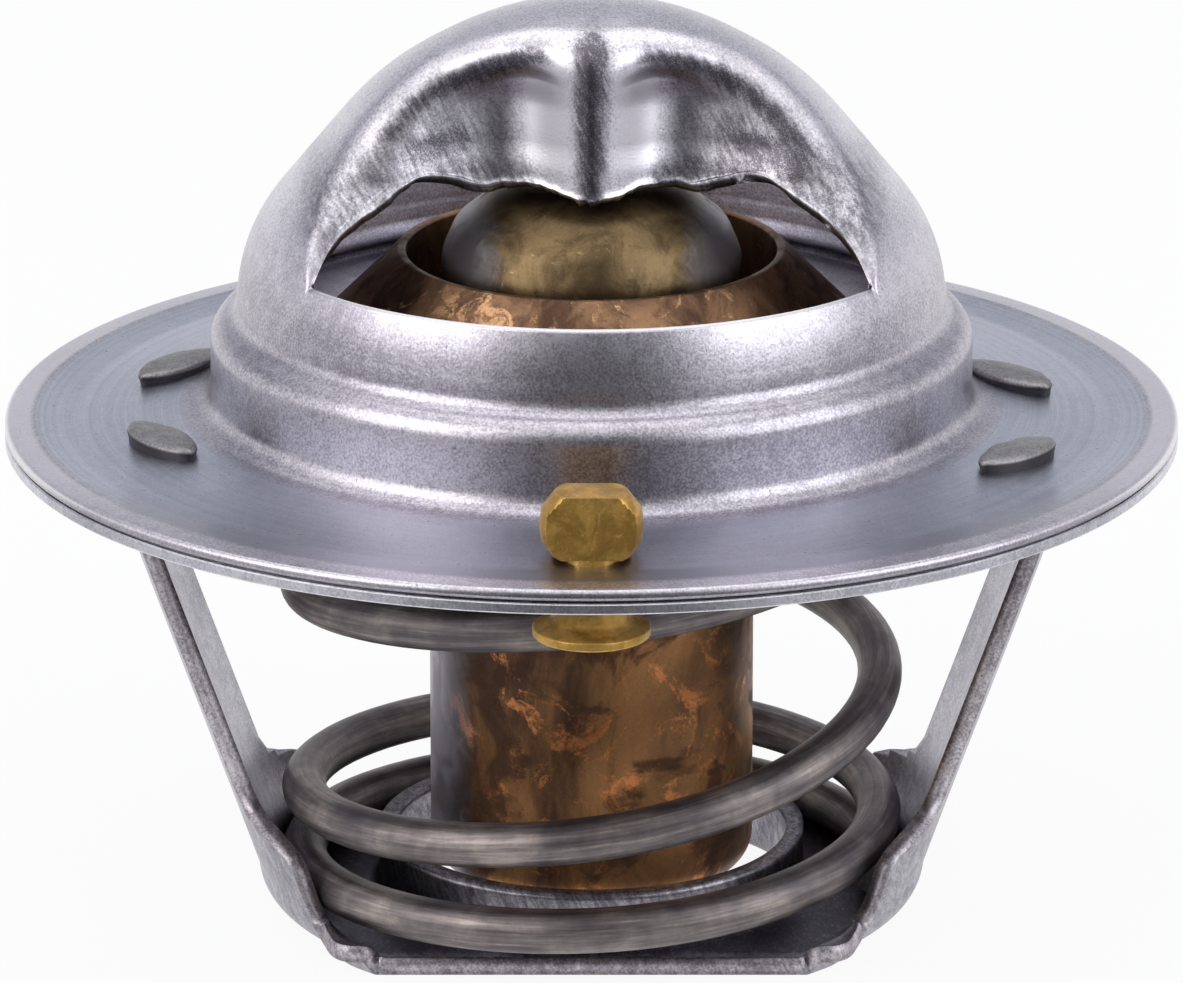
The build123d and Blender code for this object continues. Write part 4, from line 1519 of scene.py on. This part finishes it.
    def base_grid(self) -> tuple[np.ndarray, int, np.ndarray]:
        """The base as a polar grid.

        Returns:
            Its points, the number of directions and the directions.
        """
        corner = math.degrees(math.asin(self.leg_half / self.plan_arc))
        spans = ((0.0, corner, 14), (corner, self.spans[0][0], 20), *self.spans)
        parts = [np.radians(np.linspace(low, high, count)[:-1]) for low, high, count in spans]
        quarter = np.append(np.concatenate(parts), math.pi / 2)
        back = quarter[::-1]
        turns = np.concatenate([quarter, math.pi - back[1:], math.pi + quarter[1:], 2 * math.pi - back[1:-1]])
        corners = (
            (self.collar_radius, self.collar_top, 0.0),
            (self.collar_radius, self.base, 1.4),
            (self.floor_start, self.base, 0.0),
        )
        collar = resampled(divided(rounded(corners), 0.4), 16)[:-1]
        sides = np.array([self.side(float(turn)) for turn in turns])
        bearing = np.degrees(np.abs((turns + math.pi / 2) % math.pi - math.pi / 2))
        start, fully, until, beyond = self.eased
        loose = self.ease_share * ramp(bearing, start, fully) * (1 - ramp(bearing, until, beyond))
        for _ in range(self.ease_passes):
            level = (np.roll(sides, 1, axis=0) + np.roll(sides, -1, axis=0)) / 2
            sides += (level - sides) * loose[:, None, None]
        rows = [ring_at(radius - self.sheet, height, turns) for radius, height in collar]
        rows += list(sides.transpose(1, 0, 2))
        return np.concatenate(rows), len(turns), turns

    def leg(self, foot: np.ndarray, sign: float) -> np.ndarray:
        """One leg and its head as a grid.

        Args:
            foot: The base's edge points that it rises from.
            sign: 1 for the right leg, -1 for the left one.

        Returns:
            Its points, row by row from the foot.
        """
        points = [foot]
        for share in np.linspace(0, 1, 40)[1:]:
            row = []
            for _, y, z in foot:
                height = float(z + (self.head_top - z) * share)
                spread = np.interp(height, *np.array(self.spread).T)
                width = y / self.leg_half * (self.leg_half + (self.head_half - self.leg_half) * spread)
                row.append(self.leg_point(width, height) * np.array([sign, 1.0, 1.0]))
            points.append(np.array(row))
        return np.concatenate(points)

    def painted_pan_shade(self, places: np.ndarray) -> np.ndarray:
        """How much painted shade the sheet gets in the pan, round the collar and low on the wings.

        Args:
            places: Points of the sheet, one row each.

        Returns:
            A share for each point.
        """
        reach, height = np.hypot(places[:, 0], places[:, 1]), places[:, 2] - self.base
        pan = (1 - ramp(height, 0.3, 3.2)) * (1 - ramp(reach, 14.2, 15.2))
        pan *= 1 - ramp(np.abs(places[:, 1]), 9.8, 10.5)
        collar = 0.6 * (1 - ramp(reach, 10.2, 10.8))
        wings = 0.4 * (1 - ramp(height, 3.5, 8.0))
        return np.max([pan, collar, wings], axis=0)

    def build(self) -> None:
        """Makes the frame."""
        grid, around, turns = self.base_grid()
        points = [grid]
        faces = grid_faces(len(grid) // around, around, wrap=True)
        edge = grid[-around:]
        start = len(grid)
        near = np.abs(self.plan_arc * np.sin(turns)) < self.leg_half + 0.001
        for sign in (1.0, -1.0):
            chosen = edge[near & (edge[:, 0] * sign > 0)]
            leg = self.leg(chosen[np.argsort(chosen[:, 1], kind="stable")], sign)
            points.append(leg)
            faces += grid_faces(len(leg) // len(chosen), len(chosen), flip=sign < 0, start=start)
            start += len(leg)
        places = np.concatenate(points)
        # painted shade in the pan, round the collar and low on the wings, kept as a mesh attribute
        piece = mesh_object("frame_pressing", places, faces, gloom=self.painted_pan_shade(places))
        tidy(piece, weld=0.02, crease=180.0, facing=-1.0)
        thicken(piece, self.sheet, FRAME_STEEL, SHEARED_STEEL)
        finish_piece(piece, Body.HOUSING, "frame_steel", "lower_frame")


@dataclass
class Tabs:
    """The four ends of the legs' heads, peened over the flange."""

    # place across and along, and lean in degrees
    centres: tuple[Point3, ...] = (
        (-19.45, -6.7, -58.0),
        (-19.35, 4.9, 54.0),
        (19.25, -8.6, 50.0),
        (19.4, 3.2, -50.0),
    )
    # shares of the outline and of the height, ring by ring from under the flange up
    mound: tuple[Point2, ...] = (
        (0.93, -0.3), (0.96, 0.3), (1.0, 0.55), (0.97, 0.72),
        (0.9, 0.82), (0.7, 0.88), (0.35, 0.94), (0.0, 0.95),
    )
    side_rings: int = 3
    length: float = 5.5
    width: float = 2.3
    height: float = 0.75
    lift: float = 0.12
    steps: int = 72

    def build(self) -> None:
        """Makes each tab as a low ragged mound."""
        material = TAB_STEEL.material()
        around = np.linspace(0, 2 * math.pi, self.steps, endpoint=False)
        along = self.length / 2 * np.cos(around)
        lens = self.width / 2 * np.abs(np.sin(around)) ** 1.35 * np.sign(np.sin(around))
        for number, (x, y, lean) in enumerate(self.centres):
            rings = [
                np.stack([along * share, lens * share, np.full(self.steps, level * self.height)], 1)
                for share, level in self.mound
            ]
            points = np.concatenate(rings)
            rough = wobble(points, 1.7, 30 + number)
            points[:, :2] *= 1 + 0.07 * rough[:, None]
            points[:, 2] += 0.06 * rough
            side = (np.arange(len(points)) < self.side_rings * self.steps).astype(float)
            cos, sin = math.cos(math.radians(lean)), math.sin(math.radians(lean))
            spin = np.array([[cos, sin, 0.0], [-sin, cos, 0.0], [0.0, 0.0, 1.0]])
            turned = points @ spin + (x, y, self.lift)
            faces = grid_faces(len(self.mound), self.steps, wrap=True)
            faces.append(tuple(range(self.steps - 1, -1, -1)))
            piece = mesh_object(f"peened_tab_{number}", turned, faces, edge=side)
            tidy(piece, crease=60.0)
            piece.data.materials.append(material)
            finish_piece(piece, Body.HOUSING, "frame_steel")


@dataclass
class JigglePin:
    """The loose vent pin: a coined barrel head over the flange and a flared foot below."""

    place: float = -22.1
    head: float = 2.3
    head_side: float = 2.22
    thickness: float = 1.1
    stem: float = 1.25
    foot: float = 2.6
    bottom: float = -3.6
    steps: int = 96
    ease: float = 0.1

    def build(self) -> None:
        """Makes the pin."""
        corners = (
            (0.0, 3.0, 0.0),
            (1.62, 3.0, 0.12),
            (self.head_side, 2.2, 0.4),
            (self.head, 1.5, 0.6),
            (self.head_side, 0.8, 0.4),
            (1.75, 0.12, 0.12),
            (self.stem, 0.12, 0.0),
            (self.stem, -2.0, 0.8),
            (1.75, -2.8, 0.8),
            (self.foot, -3.2, 0.1),
            (self.foot, self.bottom, 0.1),
            (0.0, self.bottom, 0.0),
        )
        outline = divided(rounded(corners, step=12), 0.35)
        turns = np.linspace(0, 2 * math.pi, self.steps, endpoint=False)
        points = np.concatenate([ring_at(radius, height, turns) for radius, height in outline])
        flat = np.clip(points[:, 1], -self.thickness, self.thickness)
        points[:, 1] = np.where(points[:, 2] > 0.1, flat, points[:, 1]) + self.place
        piece = mesh_object("vent_pin", points, grid_faces(len(outline), self.steps, wrap=True))
        tidy(piece, crease=28.0)
        bevel = piece.modifiers.new("eased", "BEVEL")
        bevel.width = self.ease * MM
        bevel.segments = 2
        bevel.angle_limit = math.radians(28)
        piece.data.materials.append(JIGGLE_BRASS.material())
        finish_piece(piece, Body.VENT_PIN, "jiggle_brass", "jiggle_pin")


# ---------------------------------------------------------------- the studio


@dataclass
class Studio:
    """Floor, lamps, the tent that reflections see, and the camera."""

    distance: float = 420.0
    lift: float = 17.15
    tilt: float = 17.68
    lens: float = 277.5
    floor_size: float = 6.0
    floor_glow: float = 0.92
    # name, place, size in metres, power in watts and tint of each soft box
    lamps: tuple[tuple[str, Point3, float, float, Colour], ...] = (
        ("key_box", (-300, -190, 230), 0.3, 0.6, (1.0, 0.98, 0.96)),
        ("fill_box", (310, -170, 180), 0.3, 0.45, (0.95, 0.97, 1.0)),
        ("top_box", (0, 60, 400), 0.4, 0.4, (1.0, 1.0, 1.0)),
    )
    # radius and height of the tent's wall and roof
    tent_line: tuple[Point2, ...] = (
        (40.0, 0.4), (440.0, 0.4), (450.0, 30.0), (450.0, 300.0), (300.0, 430.0), (1.0, 470.0),
    )

    def rays(self, g: Graph, *kinds: str) -> Signal:
        """Tells the rays of some kinds from the others.

        Args:
            g: The graph that needs it.
            kinds: Outputs of Blender's light path node.

        Returns:
            1 for a ray of one of the kinds, and 0 for another.
        """
        path = g.node("ShaderNodeLightPath")
        total = g.signal(path, kinds[0])
        for kind in kinds[1:]:
            total = g.math("MAXIMUM", total, g.signal(path, kind))
        return total

    def white_world(self) -> None:
        """A world that is white where it is seen and softer where it lights."""
        world = bpy.data.worlds.new("tent")
        bpy.context.scene.world = world
        g = Graph("tent", world)
        seen = self.rays(g, "Is Camera Ray", "Is Glossy Ray", "Is Transmission Ray")
        dim = g.signal(g.node("ShaderNodeBackground", None, {0: (0.9, 0.92, 1.0), 1: 0.6}))
        white = g.signal(g.node("ShaderNodeBackground", None, {0: WHITE, 1: 1.0}))
        surface = g.node("ShaderNodeMixShader", None, {0: seen, 1: dim, 2: white})
        g.close(g.signal(surface), "ShaderNodeOutputWorld")

    def floor(self) -> None:
        """A pale floor that keeps a soft shadow."""
        g = Graph("floor_paper")
        paper = g.mix(g.noise(g.place(), 0.4, 3.0), shade(236, 236, 238), shade(243, 243, 245))
        diffuse = g.signal(g.node("ShaderNodeBsdfDiffuse", None, {"Color": paper}))
        seen = self.rays(g, "Is Camera Ray", "Is Glossy Ray") * self.floor_glow
        g.close(g.signal(g.node("ShaderNodeMixShader", None, {0: seen, 1: diffuse, 2: g.glow(WHITE)})))
        bpy.ops.mesh.primitive_plane_add(size=self.floor_size, location=(0, 0, -0.00001))
        floor = bpy.context.active_object
        floor.name = "floor"
        floor.data.materials.append(g.material)

    def tent(self) -> None:
        """The soft boxes and dark panels round the part, which only reflections see."""
        turns = np.linspace(0, 2 * math.pi, 96, endpoint=False)
        rings = [ring_at(radius, height - RIM, turns) for radius, height in self.tent_line]
        tent = mesh_object("tent", np.concatenate(rings), grid_faces(len(rings), len(turns), wrap=True))
        g = Graph("tent_cloth")
        x, y, z = g.split(g.place())
        degrees = 180 / math.pi
        # heading is measured from the front to either side, and climb up from the flange
        heading = g.math("ARCTAN2", g.math("ABSOLUTE", x), y * -1.0) * degrees
        climb = g.math("ARCTAN2", z - RIM, (x * x + y * y) ** 0.5) * degrees
        front = (1.0 - g.band(heading, 16.0, 42.0)) * (1.0 - g.band(climb, 28.0, 52.0))
        sides = (1.0 - g.band(heading, 100.0, 124.0)) * (1.0 - g.band(climb, -8.0, 6.0))
        back = g.band(heading, 92.0, 122.0) * (1.0 - g.band(climb, 34.0, 52.0)) * g.band(climb, 4.0, 24.0)
        top = g.band(climb, 60.0, 80.0) * 0.2
        tone = WHITE
        for share, panel in (
            (back, (0.37, 0.385, 0.44)),
            (sides, (0.55, 0.55, 0.58)),
            (front, (0.09, 0.09, 0.1)),
            (top, (0.3, 0.3, 0.33)),
        ):
            tone = g.mix(share, tone, panel)
        tent.data.materials.append(g.close(g.glow(tone)))
        for ray in ("camera", "diffuse", "shadow", "transmission"):
            setattr(tent, f"visible_{ray}", False)

    def lamp(self, name: str, place: Point3, size: float, power: float, tint: Colour) -> None:
        """A square soft box aimed at the middle of the part.

        Args:
            name: Name of the lamp.
            place: Where it hangs, in millimetres.
            size: Length of its side, in metres.
            power: Its power, in watts.
            tint: Its colour.
        """
        data = bpy.data.lights.new(name, "AREA")
        data.shape, data.size, data.energy, data.color = "SQUARE", size, power, tint
        lamp = into_scene(name, data)
        lamp.location = [part * MM for part in place]
        heading = Vector((0, 0, RIM * MM)) - lamp.location
        lamp.rotation_mode = "QUATERNION"
        lamp.rotation_quaternion = heading.to_track_quat("-Z", "Y")

    def camera(self) -> None:
        """A long lens in front of the part, looking a little down on it."""
        data = bpy.data.cameras.new("camera")
        data.lens, data.sensor_width, data.clip_start, data.clip_end = self.lens, 36.0, 0.01, 20.0
        camera = into_scene("camera", data)
        angle, away = math.radians(self.lift), self.distance * MM
        camera.location = (0.0, -away * math.cos(angle), RIM * MM + away * math.sin(angle))
        camera.rotation_euler = (math.radians(90 - self.tilt), 0.0, 0.0)
        bpy.context.scene.camera = camera

    def build(self) -> None:
        """Sets the studio up."""
        self.white_world()
        self.floor()
        self.tent()
        for lamp in self.lamps:
            self.lamp(*lamp)
        self.camera()
        bpy.context.scene.view_settings.view_transform = "Standard"


def main() -> None:
    """Builds the dressed thermostat in its studio."""
    logging.basicConfig(level=logging.INFO, format="%(name)s %(message)s")
    for part in (Bridge, SeatRing, Element, Spring, LowerFrame, Tabs, JigglePin, Studio):
        part().build()


if __name__ == "__main__":
    main()
